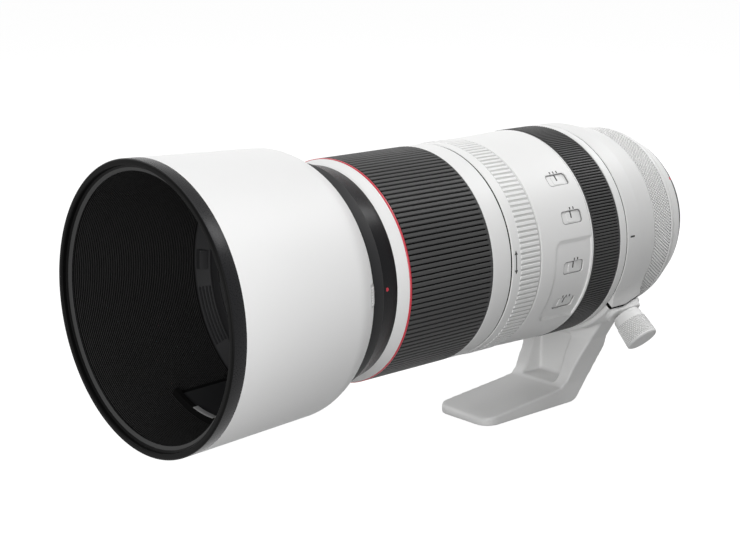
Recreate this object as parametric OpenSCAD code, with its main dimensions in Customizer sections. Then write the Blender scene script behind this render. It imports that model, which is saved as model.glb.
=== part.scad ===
// Telephoto zoom lens with a detachable hood and a tripod collar. Sizes in millimetres.
// The optical axis lies along Y with the front towards -Y, and up is +Z.
// The origin is the centre of the rear mount face.

/* [Overall] */
// Distance from the mount face to the front edge of the lens
lens_len = 207.6; // [206:0.2:210]
// Outer radius of the main barrel at its front
barrel_r = 45; // [44.5:0.1:46]
// Distance the front of the lens moves forward at the longest zoom setting
zoom_travel = 84; // [70:1:85]
// Angle the zoom ring turns between its two stops
zoom_angle = 90; // [70:1:100]
// Gap between sliding and turning tubes
clear = 0.35; // [0.32:0.01:0.4]
// Gap between the ends of neighbouring rings
end_gap = 0.3; // [0.3:0.05:0.4]

/* [Hood] */
// Length of the hood
hood_len = 72; // [70:0.5:76]
// Distance the hood reaches in front of the lens
hood_reach = 63.5; // [61:0.5:65]
// How far the shoulder of the hood stands outside the main barrel
hood_step = 7.3; // [7:0.05:7.5]
// How far the shell of the hood spreads from its shoulder to the black rim
hood_flare = 2.35; // [2:0.05:3]
// Width of the black front rim
rim_w = 6; // [4:0.5:8]
// Wall of the hood shell
shell_wall = 1.5; // [1.3:0.1:1.6]
// Wall of the inner lining
liner_wall = 2.2; // [2:0.1:2.3]
// Half angle of the filter window in the hood
window_half = 25; // [18:1:26]
// Length of the filter window along the hood
window_len = 22; // [16:1:23]
// Angle of the release button round the hood, up from the side
button_angle = 3.8; // [0:0.2:8]
// Distance the release button is pressed in
button_press = 1.2; // [0.8:0.1:1.3]
// Angle the hood turns between locked and free
unlock_angle = 40; // [36:1:44]

/* [Front ring] */
// Length of the black ring at the front of the lens
front_len = 22.9; // [22.5:0.1:23.5]
// How far the filter thread lies inside the main barrel
filter_step = 6.5; // [6.3:0.1:7]
// How far the flange that stops the hood stands outside the main barrel
flange_step = 0.2; // [0:0.1:1]
// Length of the white ring behind it
name_len = 4.2; // [4:0.1:5]
// Length of the red ring
red_len = 1.6; // [1.2:0.1:2]

/* [Rings] */
// How far the ribs of the zoom grip lie inside the main barrel
zoom_step = 0.08; // [0:0.02:0.1]
// Distance from the mount face to the rear end of the zoom grip
zoom_grip_back = 134; // [132:0.5:136]
// Number of ribs on the zoom grip
zoom_ribs = 132; // [110:1:150]
// Distance from the mount face to the rear end of the zoom ring
zoom_back = 124.1; // [123:0.1:125]
// Distance from the mount face to the rear end of the tension ring
tension_back = 106.9; // [106:0.1:108]
// How far the ribs of the focus grip stand outside the main barrel
focus_step = 1; // [0.9:0.05:1.4]
// Distance from the mount face to the front of the focus grip
focus_front = 75; // [74.5:0.1:76]
// Distance from the mount face to the rear of the focus grip
focus_back = 57.7; // [57:0.1:58]
// Number of ribs on the focus grip
focus_ribs = 216; // [190:2:240]
// Depth of the ribs on the grips
rib_depth = 0.9; // [0.6:0.05:0.95]

/* [Switches] */
// Distance from the mount face to the middle of the slide switches
switch_back = 86.3; // [86:0.1:87]
// Length of a switch window
switch_len = 12; // [11:0.5:13]
// Width of a switch window
switch_w = 5.6; // [5:0.1:6]
// Travel of a switch from its middle to one end
switch_travel = 2; // [1.5:0.1:2.2]
// Angles of the four switches round the barrel, up from the side
switch_angles = [41.8, 20.6, -6.4, -28.2]; // [-60:0.1:60]

/* [Collar] */
// Distance from the mount face to the front of the tripod collar
collar_front = 50.8; // [50.4:0.1:51]
// Distance from the mount face to the rear of the tripod collar
collar_back = 31; // [30.9:0.1:31.4]
// How far the tripod collar stands outside the main barrel
collar_step = 0.9; // [0.8:0.1:1.2]
// Depth of the foot below the optical axis
foot_drop = 78.6; // [77:0.2:82]
// Width of the foot
foot_w = 31.4; // [28:0.2:34]
// Distance from the mount face to the front of the foot
foot_front = 105.8; // [100:0.2:108]
// Radius of the threaded hole in the foot
tripod_r = 3.175; // [3.1:0.025:3.2]
// Angle of the locking knob round the collar, up from the side
knob_angle = -43.7; // [-46:0.1:-42]
// Radius of the locking knob
knob_r = 7.3; // [6.5:0.1:7.5]
// Length of the locking knob
knob_len = 14; // [12:0.5:16]

/* [Rear] */
// Distance from the mount face to the front of the control ring
control_front = 30.5; // [30.3:0.1:30.6]
// Distance from the mount face to the rear of the control ring
control_back = 15; // [14.6:0.1:16]
// How far the front of the control ring lies inside the tripod collar
control_step = 3.3; // [3.2:0.1:3.6]
// How far the control ring narrows towards the rear
control_fall = 1.4; // [1.2:0.1:1.8]
// Outer radius of the mount plate
mount_r = 33.4; // [33:0.1:34]
// Radius of the bayonet tabs
tab_r = 26.9; // [26.6:0.1:27]
// Radius of the throat in the mount
throat_r = 22.8; // [22.4:0.1:23]

/* [Hidden] */
$fn = 96;

// Stations along the axis
lens_front = -lens_len;
hood_front = lens_front - hood_reach;
hood_rear = hood_front + hood_len;
rim_back = hood_front + rim_w;
name_front = lens_front + front_len;
red_front = name_front + name_len;
zoom_front = red_front + red_len;
flange_front = hood_rear + end_gap;
tube_overlap = 24;
tube_rear = min(zoom_front + tube_overlap + zoom_travel, -70.6);
pin_y = tube_rear - 4;
guide_front = zoom_front + 5;
guide_rear = -64;
cam_front = pin_y - zoom_travel - 4;
cam_rear = pin_y + 3.4;
zoom_share = 0.5;
group_y = -118;
group_travel = zoom_travel * zoom_share;
key_y = -zoom_back - 3;
shoulder_y = -61.5;
thread_back = lens_front + 4.4;
retainer_front = lens_front + 4.8;
retainer_back = lens_front + 6.4;
first_front = lens_front + 5;
first_back = lens_front + 14;
second_back = lens_front + 20;
steady_front = -103;
steady_back = -88;
iris_front = -87;
iris_back = -79;
slide_front = -64;
slide_back = -52;
rod_back = -27;
board_front = -35.6;
rear_cell_front = -24;
rear_cell_back = -3;

// Radii of the nested tubes, from the outside in
ring_out = barrel_r - 1.3;
ring_in = ring_out - 1;
sleeve_out = ring_in - clear;
sleeve_in = sleeve_out - 1.1;
cam_out = sleeve_in - clear;
cam_in = cam_out - 1.3;
tube_out = cam_in - clear;
tube_in = tube_out - 1.5;
guide_out = tube_in - clear;
guide_in = guide_out - 1.4;

// Radii of the outer rings and the seats they turn on
barrel_rear_r = barrel_r + 0.8;
filter_r = barrel_r - filter_step;
relief_r = filter_r + 2;
flange_r = barrel_r + flange_step;
waist_r = flange_r - 2.4;
zoom_grip_r = barrel_r - zoom_step;
focus_grip_r = barrel_r + focus_step;
focus_seat = barrel_r - 1.9;
focus_in = focus_seat + clear;
focus_mid = focus_in + 1;
collar_r = barrel_r + collar_step;
collar_seat = collar_r - 4.3;
collar_in = collar_seat + clear;
control_r = collar_r - control_step;
control_rear_r = control_r - control_fall;
control_seat = control_r - 5.6;
control_in = control_seat + clear;

// Radii of the cells and glasses inside
glass_r = guide_in - 0.6;
first_curve = 4.8 * glass_r;
first_sag = first_curve - sqrt(first_curve * first_curve - glass_r * glass_r);
play = 0.05;
seat_r = glass_r - 2;
second_curve = 7.3 * glass_r;
second_sag = second_curve - sqrt(second_curve * second_curve - seat_r * seat_r);
cell_r = guide_in - clear;
zoom_glass_r = guide_in - 9.6;
yoke_r = guide_in - 8.4;
steady_r = guide_in - 15;
iris_r = guide_in - 14;
slide_r = guide_in - 12;
slide_glass_r = slide_r - 3.5;
rod_circle = slide_r + 5;
rod_r = 1.5;
rear_in = collar_seat - 6.6;
rear_bore = mount_r - 3.4;
rear_glass_r = throat_r - 1.8;
plate_w = 1.5;
pin_r = 1.5;
slot_w = 2 * pin_r + 0.7;

bevel_y = hood_rear - 11.7;
bevel_r = barrel_r + hood_step;
function cone_r(y) = bevel_r + (bevel_y - y) * hood_flare / (bevel_y - rim_back);
rear_edge_r = bevel_r - 7;
lip_r = cone_r(rim_back) - shell_wall - liner_wall - 0.9;

// Rounded shoulder of the hood, outside and inside, each step a drop in radius and a distance behind its start
shoulder = [[0.65, 2.7], [2.45, 6.6], [4.7, 9.7]];
shoulder_in = [[2.1, 2.2], [3.7, 5.8], [5.9, 8.8]];
function shoulder_line(steps, shift) = [for (s = steps) [bevel_r - s[0] + shift, bevel_y + s[1]]];
function reversed(line) = [for (i = [len(line) - 1 : -1 : 0]) line[i]];
button_front = bevel_y + shoulder[1][1];
button_proud = 0.25;
seat = 0.02;
bayonet_r = filter_r + 4.85;
bayonet_front = hood_rear - 12.6;
panel_low = -38;
panel_high = 8.6;
panel_front = -96;
panel_floor = barrel_r - 2.4;
window_front = hood_front + 32;
window_back = window_front + window_len;
frame_step = 2;
door_turn = 2 * window_half + 2;
frame_low = -90 - window_half - 4;
frame_high = -90 + window_half + door_turn + 4;
knob_y = -(collar_front + collar_back) / 2;
pad_r = collar_r + 4;
pad_half = 5.8;
pad_step = 3.6;
saddle_high = knob_angle + 5;
saddle_low = -180 - saddle_high;
tail_front = -control_back + end_gap;
tail_r = mount_r + 2.6;
mount_t = 2.6;
screw_circle = mount_r - 3.4;
neck_len = 5.2;
shoe_r = 4;
shank_r = 2.5;
shoe_low = collar_seat + clear;
shoe_top = shoe_low + 2.2;
knob_base = pad_r + 0.8;
saddle_in = collar_r - 2.8;
saddle_out = collar_r + 1.8;

module turned() {
    rotate([-90, 0, 0])
    rotate_extrude()
    children();
}

module swept(low, high) {
    rotate([0, -high, 0])
    rotate([-90, 0, 0])
    rotate_extrude(angle = high - low)
    children();
}

module ring(y0, y1, outer, inner) {
    translate([0, y0, 0])
    rotate([-90, 0, 0])
    difference() {
        cylinder(h = y1 - y0, r = outer);
        translate([0, 0, -1])
        cylinder(h = y1 - y0 + 2, r = inner);
    }
}

module rod(y0, y1, r) {
    translate([0, y0, 0])
    rotate([-90, 0, 0])
    cylinder(h = y1 - y0, r = r);
}

module radial(angle, y, r) {
    rotate([0, -angle, 0])
    translate([r, y, 0])
    rotate([0, 90, 0])
    children();
}

module ribbed_tube(y0, y1, outer, inner, count, depth, land) {
    step = 360 / count;
    loop = [for (i = [0 : count - 1]) for (k = [[0, 0], [land, 0], [land + 0.16, depth], [0.84, depth]])
        [(outer - k[1]) * cos((i + k[0]) * step), (outer - k[1]) * sin((i + k[0]) * step)]];
    translate([0, y0, 0])
    rotate([-90, 0, 0])
    difference() {
        linear_extrude(height = y1 - y0)
        polygon(loop);
        translate([0, 0, -1])
        cylinder(h = y1 - y0 + 2, r = inner, $fn = 360);
    }
}

module arc_disc(centre, r) {
    translate([0, centre])
    circle(r = r, $fn = 1440);
}

module convex_glass(front, back, edge, front_curve, back_curve) {
    turned()
    intersection() {
        translate([0, front - 1])
        square([edge, back - front + 2]);
        arc_disc(front + front_curve, front_curve);
        arc_disc(back - back_curve, back_curve);
    }
}

module concave_glass(front, back, edge, front_curve, back_curve) {
    turned()
    difference() {
        translate([0, front])
        square([edge, back - front]);
        arc_disc(front + 2.2 - front_curve, front_curve);
        arc_disc(back - 2.2 + back_curve, back_curve);
    }
}

// Slot that climbs round a tube while the follower slides along it, cut in short straight runs
module helix_slot(angle, y_start, travel) {
    runs = 6;
    arc = zoom_angle / runs * PI / 180 * cam_out;
    rise = travel / runs;
    run_len = sqrt(arc * arc + rise * rise) + slot_w;
    for (i = [0 : runs - 1])
    radial(angle + zoom_angle * (i + 0.5) / runs, y_start - rise * (i + 0.5), cam_in - 1.2)
    rotate([0, 0, atan2(rise, arc)])
    translate([-run_len / 2, -slot_w / 2, 0])
    cube([run_len, slot_w, 5]);
}

module straight_slot(angle, y0, y1, r0, r1, w) {
    rotate([0, -angle, 0])
    translate([r0, y0 - w / 2, -w / 2])
    cube([r1 - r0, y1 - y0 + w, w]);
}

module hood_opening(extra) {
    swept(-90 - window_half - extra / 0.86, -90 + window_half + extra / 0.86)
    translate([30, window_front - extra])
    square([40, window_len + 2 * extra]);
}

module button_cut(gap, low) {
    rotate([0, -button_angle, 0])
    translate([low, button_front - gap, -4.2 - gap])
    cube([20, 20, 8.4 + 2 * gap]);
}

module hood_shell() {
    color([0.93, 0.93, 0.92])
    difference() {
        turned()
        polygon(concat(
            [[cone_r(rim_back), rim_back], [bevel_r, bevel_y]],
            shoulder_line(shoulder, 0),
            [[rear_edge_r, hood_rear], [rear_edge_r - 1, hood_rear]],
            reversed(shoulder_line(shoulder_in, 0)),
            [[bevel_r - shell_wall, bevel_y], [cone_r(rim_back) - shell_wall, rim_back]]
        ));
        hood_opening(0);
        button_cut(0.3, rear_edge_r - 3);
    }
}

module hood_rim() {
    color([0.07, 0.07, 0.07])
    turned()
    polygon([
        [cone_r(hood_front) - 0.7, hood_front],
        [cone_r(hood_front), hood_front + 0.7],
        [cone_r(rim_back), rim_back],
        [lip_r + 0.9, rim_back],
        [lip_r + 0.9, hood_front + 3.6],
        [lip_r, hood_front + 3.5],
        [lip_r, hood_front + 3],
        [lip_r + 2, hood_front + 1.9],
        [lip_r + 2.3, hood_front]
    ]);
}

module hood_liner() {
    color([0.04, 0.04, 0.04])
    difference() {
        turned()
        polygon([
            [cone_r(rim_back) - shell_wall - seat, rim_back],
            [cone_r(bayonet_front) - shell_wall - seat, bayonet_front],
            [cone_r(bayonet_front) - shell_wall - liner_wall, bayonet_front],
            [cone_r(rim_back) - shell_wall - liner_wall, rim_back]
        ]);
        hood_opening(0);
    }
}

module hood_bayonet() {
    color([0.05, 0.05, 0.05])
    difference() {
        turned()
        polygon(concat(
            [[cone_r(bayonet_front) - shell_wall - seat, bayonet_front], [bevel_r - shell_wall - seat, bevel_y]],
            shoulder_line(shoulder_in, -seat),
            [
                [rear_edge_r - 1 - seat, hood_rear],
                [bayonet_r, hood_rear],
                [bayonet_r, hood_rear - 2],
                [bayonet_r + 1.3, hood_rear - 2.2],
                [bayonet_r + 1.3, hood_rear - 6.2],
                [bayonet_r, hood_rear - 6.4],
                [bayonet_r, hood_rear - 8.6],
                [cone_r(bayonet_front) - shell_wall - liner_wall - 0.6, bayonet_front]
            ]
        ));
        button_cut(0.3, bayonet_r + 1.6);
        for (i = [0 : 2])
        swept(i * 120 + 60 - unlock_angle - 3, i * 120 + 85 - unlock_angle + 3)
        translate([bayonet_r - 2, hood_rear - 2.3])
        square([3.3, 5]);
    }
}

module hood_button() {
    low = bayonet_r + 1.6 + button_press + 0.3;
    color([0.9, 0.9, 0.89])
    intersection() {
        turned()
        polygon(concat(
            shoulder_line([shoulder[1], shoulder[2]], button_proud),
            [[rear_edge_r + button_proud, hood_rear], [low - 4, hood_rear], [low - 4, button_front]]
        ));
        button_cut(0, low);
    }
}

module window_frame() {
    front = window_front - frame_step;
    back = window_back + frame_step;
    skin = shell_wall + liner_wall + seat;
    color([0.06, 0.06, 0.06])
    difference() {
        swept(frame_low, frame_high)
        polygon([
            [cone_r(front) - skin, front],
            [cone_r(back) - skin, back],
            [cone_r(back) - skin - 3, back],
            [cone_r(back) - skin - 3, back - 2.2],
            [cone_r(back) - skin - 2.3, back - 2.4],
            [cone_r(back) - skin - 2.3, back - 1],
            [cone_r(back) - skin - 0.7, back - 1],
            [cone_r(front) - skin - 0.7, front + 1],
            [cone_r(front) - skin - 2.3, front + 1],
            [cone_r(front) - skin - 2.3, front + 2.4],
            [cone_r(front) - skin - 3, front + 2.2],
            [cone_r(front) - skin - 3, front]
        ]);
        hood_opening(0);
    }
}

module window_door() {
    front = window_front - frame_step + 1.3;
    back = window_back + frame_step - 1.3;
    skin = shell_wall + liner_wall + 1;
    color([0.05, 0.05, 0.05])
    swept(-90 - window_half - 1, -90 + window_half + 1)
    polygon([
        [cone_r(front) - skin, front],
        [cone_r(back) - skin, back],
        [cone_r(back) - skin - 1, back],
        [cone_r(front) - skin - 1, front]
    ]);
}

module front_ring() {
    neck = bayonet_r - clear;
    color([0.05, 0.05, 0.05])
    difference() {
        union() {
            turned()
            polygon([
                [filter_r, lens_front],
                [neck - 0.6, lens_front],
                [neck, lens_front + 0.6],
                [neck, flange_front],
                [flange_r, flange_front],
                [flange_r, flange_front + 5],
                [flange_r - 0.6, flange_front + 5.2],
                [waist_r, name_front],
                [tube_out, name_front],
                [tube_out, name_front - 3],
                [relief_r, name_front - 3],
                [relief_r, thread_back],
                [filter_r, thread_back]
            ]);
            for (i = [0 : 2])
            swept(i * 120 + 60, i * 120 + 85)
            translate([neck - 0.5, hood_rear - 5.4])
            square([1.4, 2.6]);
        }
        radial(button_angle, flange_front + 7.6, flange_r - 1.6)
        cylinder(h = 5, r = 1.3, $fn = 32);
    }
}

module hood_index() {
    color([0.8, 0.1, 0.12])
    radial(button_angle, flange_front + 7.6, flange_r - 1.6)
    cylinder(h = 0.75, r = 1.25, $fn = 32);
}

module name_ring() {
    color([0.93, 0.93, 0.92])
    turned()
    polygon([
        [tube_out, name_front],
        [waist_r, name_front],
        [zoom_grip_r - 0.5, red_front],
        [tube_out, red_front]
    ]);
}

module red_ring() {
    color([0.75, 0.06, 0.1])
    turned()
    polygon([
        [tube_out, red_front],
        [zoom_grip_r - 0.5, red_front],
        [zoom_grip_r, red_front + 0.4],
        [zoom_grip_r, zoom_front - end_gap],
        [tube_out, zoom_front - end_gap]
    ]);
}

module inner_tube() {
    color([0.9, 0.9, 0.89])
    difference() {
        ring(name_front - 3, tube_rear, tube_out, tube_in);
        for (i = [0 : 2])
        radial(i * 120 + 30, pin_y, 0)
        cylinder(h = 60, r = pin_r, $fn = 32);
        for (i = [0 : 2])
        straight_slot(i * 120 + 90, group_y - 1, group_y + zoom_travel - group_travel + 1, 30, 45, slot_w);
    }
}

module front_cell() {
    color([0.08, 0.08, 0.08])
    turned()
    polygon([
        [tube_in, retainer_back],
        [tube_in, zoom_front + 0.5],
        [glass_r - 4.4, zoom_front + 0.5],
        [seat_r, zoom_front - 3],
        [seat_r, second_back],
        [glass_r, second_back],
        [glass_r, retainer_back]
    ]);
}

module front_glass() {
    color([0.55, 0.62, 0.66, 0.4])
    convex_glass(first_front, first_back, glass_r, first_curve, 9 * glass_r);
}

module second_glass() {
    color([0.55, 0.62, 0.66, 0.4])
    convex_glass(first_back + 0.4, second_back + second_sag - play, glass_r, second_curve, second_curve);
}

module front_retainer() {
    color([0.05, 0.05, 0.05])
    turned()
    polygon([
        [tube_in, retainer_front],
        [tube_in, retainer_back],
        [glass_r, retainer_back],
        [glass_r, first_front + first_sag - 0.03],
        [glass_r - 1, first_front + first_sag - 0.23],
        [glass_r - 1, retainer_front]
    ]);
}

module tube_pins() {
    color([0.75, 0.72, 0.6])
    for (i = [0 : 2])
    radial(i * 120 + 30, pin_y, guide_in + 0.4)
    cylinder(h = cam_out - guide_in - 0.6, r = pin_r, $fn = 32);
}

module zoom_ring() {
    lip = zoom_front + 0.9;
    color([0.92, 0.92, 0.91])
    difference() {
        turned()
        polygon([
            [ring_in, lip + end_gap],
            [ring_out, lip + end_gap],
            [ring_out, -zoom_grip_back],
            [zoom_grip_r - 0.3, -zoom_grip_back],
            [zoom_grip_r - 0.1, -zoom_grip_back + 0.3],
            [zoom_grip_r - 0.1, -zoom_back - 0.3],
            [zoom_grip_r - 0.4, -zoom_back - end_gap / 2],
            [ring_in, -zoom_back - end_gap / 2]
        ]);
        radial(180, key_y, 0)
        cylinder(h = ring_out + 0.2, r = 2, $fn = 32);
    }
}

module zoom_grip() {
    color([0.06, 0.06, 0.06])
    ribbed_tube(zoom_front, -zoom_grip_back, zoom_grip_r, ring_out, zoom_ribs, rib_depth, 0.5);
}

module zoom_key() {
    color([0.75, 0.72, 0.6])
    radial(180, key_y, cam_in + 0.2)
    cylinder(h = ring_out - cam_in - 0.2, r = 2, $fn = 32);
}

module cam_barrel() {
    color([0.55, 0.56, 0.58])
    difference() {
        ring(cam_front, cam_rear, cam_out, cam_in);
        radial(180, key_y, 0)
        cylinder(h = 60, r = 2, $fn = 32);
        for (i = [0 : 2])
        helix_slot(i * 120 + 30, pin_y, zoom_travel);
        for (i = [0 : 2])
        helix_slot(i * 120 + 90, group_y, group_travel);
    }
}

module tension_ring() {
    front = -zoom_back + end_gap / 2;
    color([0.92, 0.92, 0.91])
    turned()
    polygon([
        [ring_in, front],
        [zoom_grip_r - 0.3, front],
        [zoom_grip_r, front + 0.3],
        [barrel_r, front + 5.8],
        [barrel_r + 0.3, front + 6],
        [barrel_r + 0.3, -tension_back - 0.3],
        [barrel_r, -tension_back],
        [ring_in, -tension_back]
    ]);
}

module switch_pocket(angle) {
    rotate([0, -angle, 0])
    translate([barrel_r - 2.2, -switch_back - switch_len / 2, -switch_w / 2])
    cube([10, switch_len, switch_w]);
}

module panel_zone(gap, high) {
    swept(panel_low - gap, panel_high + gap)
    polygon([
        [panel_floor, panel_front - gap / 2],
        [high, panel_front - gap / 2],
        [high, -focus_front - 1 + gap / 2],
        [panel_floor, -focus_front - 1 + gap / 2]
    ]);
}

module main_barrel() {
    lip = zoom_front + 0.9;
    front = -tension_back + end_gap;
    color([0.92, 0.92, 0.91])
    difference() {
        turned()
        polygon([
            [sleeve_in, zoom_front + 0.2],
            [ring_out - clear, zoom_front + 0.2],
            [ring_out - clear, lip],
            [sleeve_out, lip],
            [sleeve_out, front],
            [barrel_r - 0.3, front],
            [barrel_r, front + 0.3],
            [barrel_rear_r, -focus_front - 0.4],
            [barrel_rear_r - 0.3, -focus_front - end_gap / 2],
            [focus_seat, -focus_front - end_gap / 2],
            [focus_seat, -focus_back + end_gap / 2],
            [guide_out + 0.2, -focus_back + end_gap / 2],
            [guide_out + 0.2, shoulder_y],
            [sleeve_in, shoulder_y]
        ]);
        panel_zone(0.2, barrel_r + 10);
        switch_pocket(switch_angles[0]);
        switch_pocket(switch_angles[1]);
        swept(180 - zoom_angle - 6, 186)
        translate([30, key_y - 2.4])
        square([20, 4.8]);
    }
}

module switch_panel() {
    color([0.9, 0.9, 0.89])
    difference() {
        panel_zone(0, barrel_r - 0.2);
        switch_pocket(switch_angles[2]);
        switch_pocket(switch_angles[3]);
    }
}

module slider(angle, top) {
    half = switch_len / 2 - switch_travel - 0.5;
    rotate([0, -angle, 0])
    translate([barrel_r - 2.15, -switch_back, 0])
    union() {
        translate([0, -half, -switch_w / 2 + 0.3])
        cube([top + 1.4, 2 * half, switch_w - 0.6]);
        translate([top + 1.4, -0.3, -switch_w / 2 + 0.8])
        cube([0.35, 0.6, switch_w - 1.6]);
    }
}

module switch_range() {
    color([0.91, 0.91, 0.9])
    slider(switch_angles[0], 0.9);
}

module switch_focus() {
    color([0.91, 0.91, 0.9])
    slider(switch_angles[1], 0.9);
}

module switch_steady() {
    color([0.91, 0.91, 0.9])
    slider(switch_angles[2], 0.6);
}

module switch_mode() {
    color([0.91, 0.91, 0.9])
    slider(switch_angles[3], 0.6);
}

module focus_ring() {
    color([0.12, 0.12, 0.12])
    ring(-focus_front + end_gap / 2, -focus_back - end_gap / 2, focus_mid, focus_in);
}

module focus_grip() {
    color([0.06, 0.06, 0.06])
    ribbed_tube(-focus_front + end_gap / 2, -focus_back - end_gap / 2, focus_grip_r, focus_mid,
        focus_ribs, rib_depth, 0.46);
}

module guide_barrel() {
    color([0.55, 0.56, 0.58])
    difference() {
        union() {
            ring(guide_front, guide_rear, guide_out, guide_in);
            ring(shoulder_y - 2.5, shoulder_y, sleeve_in, guide_in);
        }
        for (i = [0 : 2])
        straight_slot(i * 120 + 30, pin_y - zoom_travel - 1, pin_y + 1, 30, 45, slot_w);
        for (i = [0 : 2])
        straight_slot(i * 120 + 90, group_y - group_travel - 1, group_y + 1, 30, 45, slot_w);
    }
}

module zoom_cell() {
    color([0.08, 0.08, 0.08])
    difference() {
        turned()
        polygon([
            [cell_r, group_y - 7],
            [cell_r, group_y + 7],
            [zoom_glass_r + 0.6, group_y + 7],
            [zoom_glass_r - 1.4, group_y + 5],
            [zoom_glass_r - 1.4, group_y + 4.2],
            [zoom_glass_r, group_y + 4.2],
            [zoom_glass_r, group_y - 4.2],
            [zoom_glass_r - 1.4, group_y - 4.2],
            [zoom_glass_r - 1.4, group_y - 5],
            [zoom_glass_r + 0.6, group_y - 7]
        ]);
        for (i = [0 : 2])
        radial(i * 120 + 90, group_y, 0)
        cylinder(h = 60, r = pin_r, $fn = 32);
    }
}

module zoom_glass() {
    color([0.55, 0.62, 0.66, 0.4])
    concave_glass(group_y - 4.2, group_y + 4.2, zoom_glass_r, 3.4 * zoom_glass_r, 4.2 * zoom_glass_r);
}

module zoom_pins() {
    color([0.75, 0.72, 0.6])
    for (i = [0 : 2])
    radial(i * 120 + 90, group_y, cell_r - 3)
    cylinder(h = cam_out - cell_r + 2.8, r = pin_r, $fn = 32);
}

module steady_frame() {
    color([0.1, 0.1, 0.1])
    turned()
    polygon([
        [guide_in, steady_front],
        [guide_in, steady_back],
        [steady_r, steady_back],
        [steady_r, steady_back - 2],
        [yoke_r + 1.4, steady_back - 2],
        [yoke_r + 1.4, steady_front + 2],
        [steady_r, steady_front + 2],
        [steady_r, steady_front]
    ]);
}

module steady_yoke() {
    front = steady_front + 2.05;
    back = steady_back - 2.05;
    lip = 1.45;
    color([0.3, 0.3, 0.32])
    turned()
    polygon([
        [yoke_r, front],
        [yoke_r, back],
        [yoke_r - 5, back],
        [yoke_r - 5, back - lip],
        [yoke_r - 2, back - lip],
        [yoke_r - 2, front + lip],
        [yoke_r - 5, front + lip],
        [yoke_r - 5, front]
    ]);
}

module steady_cell() {
    color([0.08, 0.08, 0.08])
    ring(steady_front + 3.55, steady_back - 3.55, yoke_r - 3.2, steady_r);
}

module steady_glass() {
    color([0.55, 0.62, 0.66, 0.4])
    convex_glass(steady_front + 3.6, steady_back - 3.6, steady_r, 5.7 * steady_r, 7.1 * steady_r);
}

module iris_housing() {
    color([0.08, 0.08, 0.08])
    turned()
    polygon([
        [guide_in, iris_front],
        [guide_in, iris_back],
        [iris_r, iris_back],
        [iris_r, iris_back - plate_w],
        [guide_in - 3, iris_back - plate_w],
        [guide_in - 3, iris_front + plate_w],
        [iris_r, iris_front + plate_w],
        [iris_r, iris_front]
    ]);
}

module iris_blades() {
    color([0.16, 0.16, 0.17])
    for (i = [0 : 8])
    swept(i * 40 + 1, i * 40 + 38)
    translate([iris_r + 0.4, iris_front + plate_w])
    square([guide_in - 3.4 - iris_r, 0.8]);
}

module focus_rods() {
    color([0.7, 0.7, 0.72])
    for (i = [0 : 2])
    rotate([0, -i * 120 - 30, 0])
    translate([rod_circle, 0, 0])
    rod(iris_back, rod_back, rod_r);
}

module focus_motor() {
    color([0.25, 0.25, 0.27])
    rotate([0, -90, 0])
    translate([slide_r + 3.4, iris_back, -6])
    cube([6.6, 39, 12]);
}

module focus_cell() {
    color([0.1, 0.1, 0.1])
    difference() {
        union() {
            turned()
            polygon([
                [slide_r, slide_front],
                [slide_r, slide_back],
                [slide_glass_r - 1.5, slide_back],
                [slide_glass_r - 1.5, slide_back - plate_w],
                [slide_glass_r, slide_back - plate_w],
                [slide_glass_r, slide_front + plate_w],
                [slide_glass_r - 1.5, slide_front + plate_w],
                [slide_glass_r - 1.5, slide_front]
            ]);
            for (i = [0 : 2])
            rotate([0, -i * 120 - 30, 0])
            translate([slide_r - 1, slide_front + 2, -3])
            cube([rod_circle - slide_r + 4, slide_back - slide_front - 4, 6]);
        }
        for (i = [0 : 2])
        rotate([0, -i * 120 - 30, 0])
        translate([rod_circle, 0, 0])
        rod(slide_front - 6, slide_back + 7, rod_r + play);
    }
}

module focus_glass() {
    color([0.55, 0.62, 0.66, 0.4])
    concave_glass(slide_front + plate_w, slide_back - plate_w, slide_glass_r, 3.4 * slide_glass_r,
        3.9 * slide_glass_r);
}

module circuit_board() {
    color([0.05, 0.3, 0.16])
    ring(board_front, board_front + 1.6, rear_in, rod_circle + 2.2);
}

module rear_cell() {
    color([0.08, 0.08, 0.08])
    turned()
    polygon([
        [rear_bore, rear_cell_front],
        [rear_bore, rear_cell_back],
        [throat_r - 0.4, rear_cell_back],
        [throat_r - 2.2, rear_cell_back - 2],
        [rear_glass_r - 1.6, rear_cell_back - 2],
        [rear_glass_r - 1.6, rear_cell_back - 3],
        [rear_glass_r, rear_cell_back - 3],
        [rear_glass_r, rear_cell_front + 7],
        [rear_glass_r - 1.6, rear_cell_front + 7],
        [rear_glass_r - 1.6, rear_cell_front + 6],
        [rear_glass_r + 3, rear_cell_front]
    ]);
}

module rear_glass() {
    color([0.55, 0.62, 0.66, 0.4])
    convex_glass(rear_cell_front + 6.2, rear_cell_back - 2.2, rear_glass_r, 3.8 * rear_glass_r,
        6.7 * rear_glass_r);
}

module rear_barrel() {
    front = -focus_back + end_gap / 2;
    color([0.91, 0.91, 0.9])
    turned()
    polygon([
        [focus_grip_r - 0.2, front],
        [focus_grip_r - 0.2, front + 4.6],
        [focus_grip_r - 0.9, -collar_front - end_gap / 2],
        [collar_seat, -collar_front - end_gap / 2],
        [collar_seat, -control_front - end_gap],
        [control_seat, -control_front - end_gap],
        [control_seat, tail_front],
        [rear_bore, tail_front],
        [rear_bore, rear_cell_front],
        [rod_circle - 3, rear_cell_front],
        [rod_circle - 3, rod_back],
        [rear_in, rod_back],
        [rear_in, front]
    ]);
}

module clamp_pad() {
    radial(knob_angle, knob_y, 0)
    linear_extrude(height = pad_r)
    union() {
        square([2 * pad_half, 2 * pad_step], center = true);
        translate([0, pad_step])
        circle(r = pad_half);
        translate([0, -pad_step])
        circle(r = pad_half);
    }
}

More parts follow.
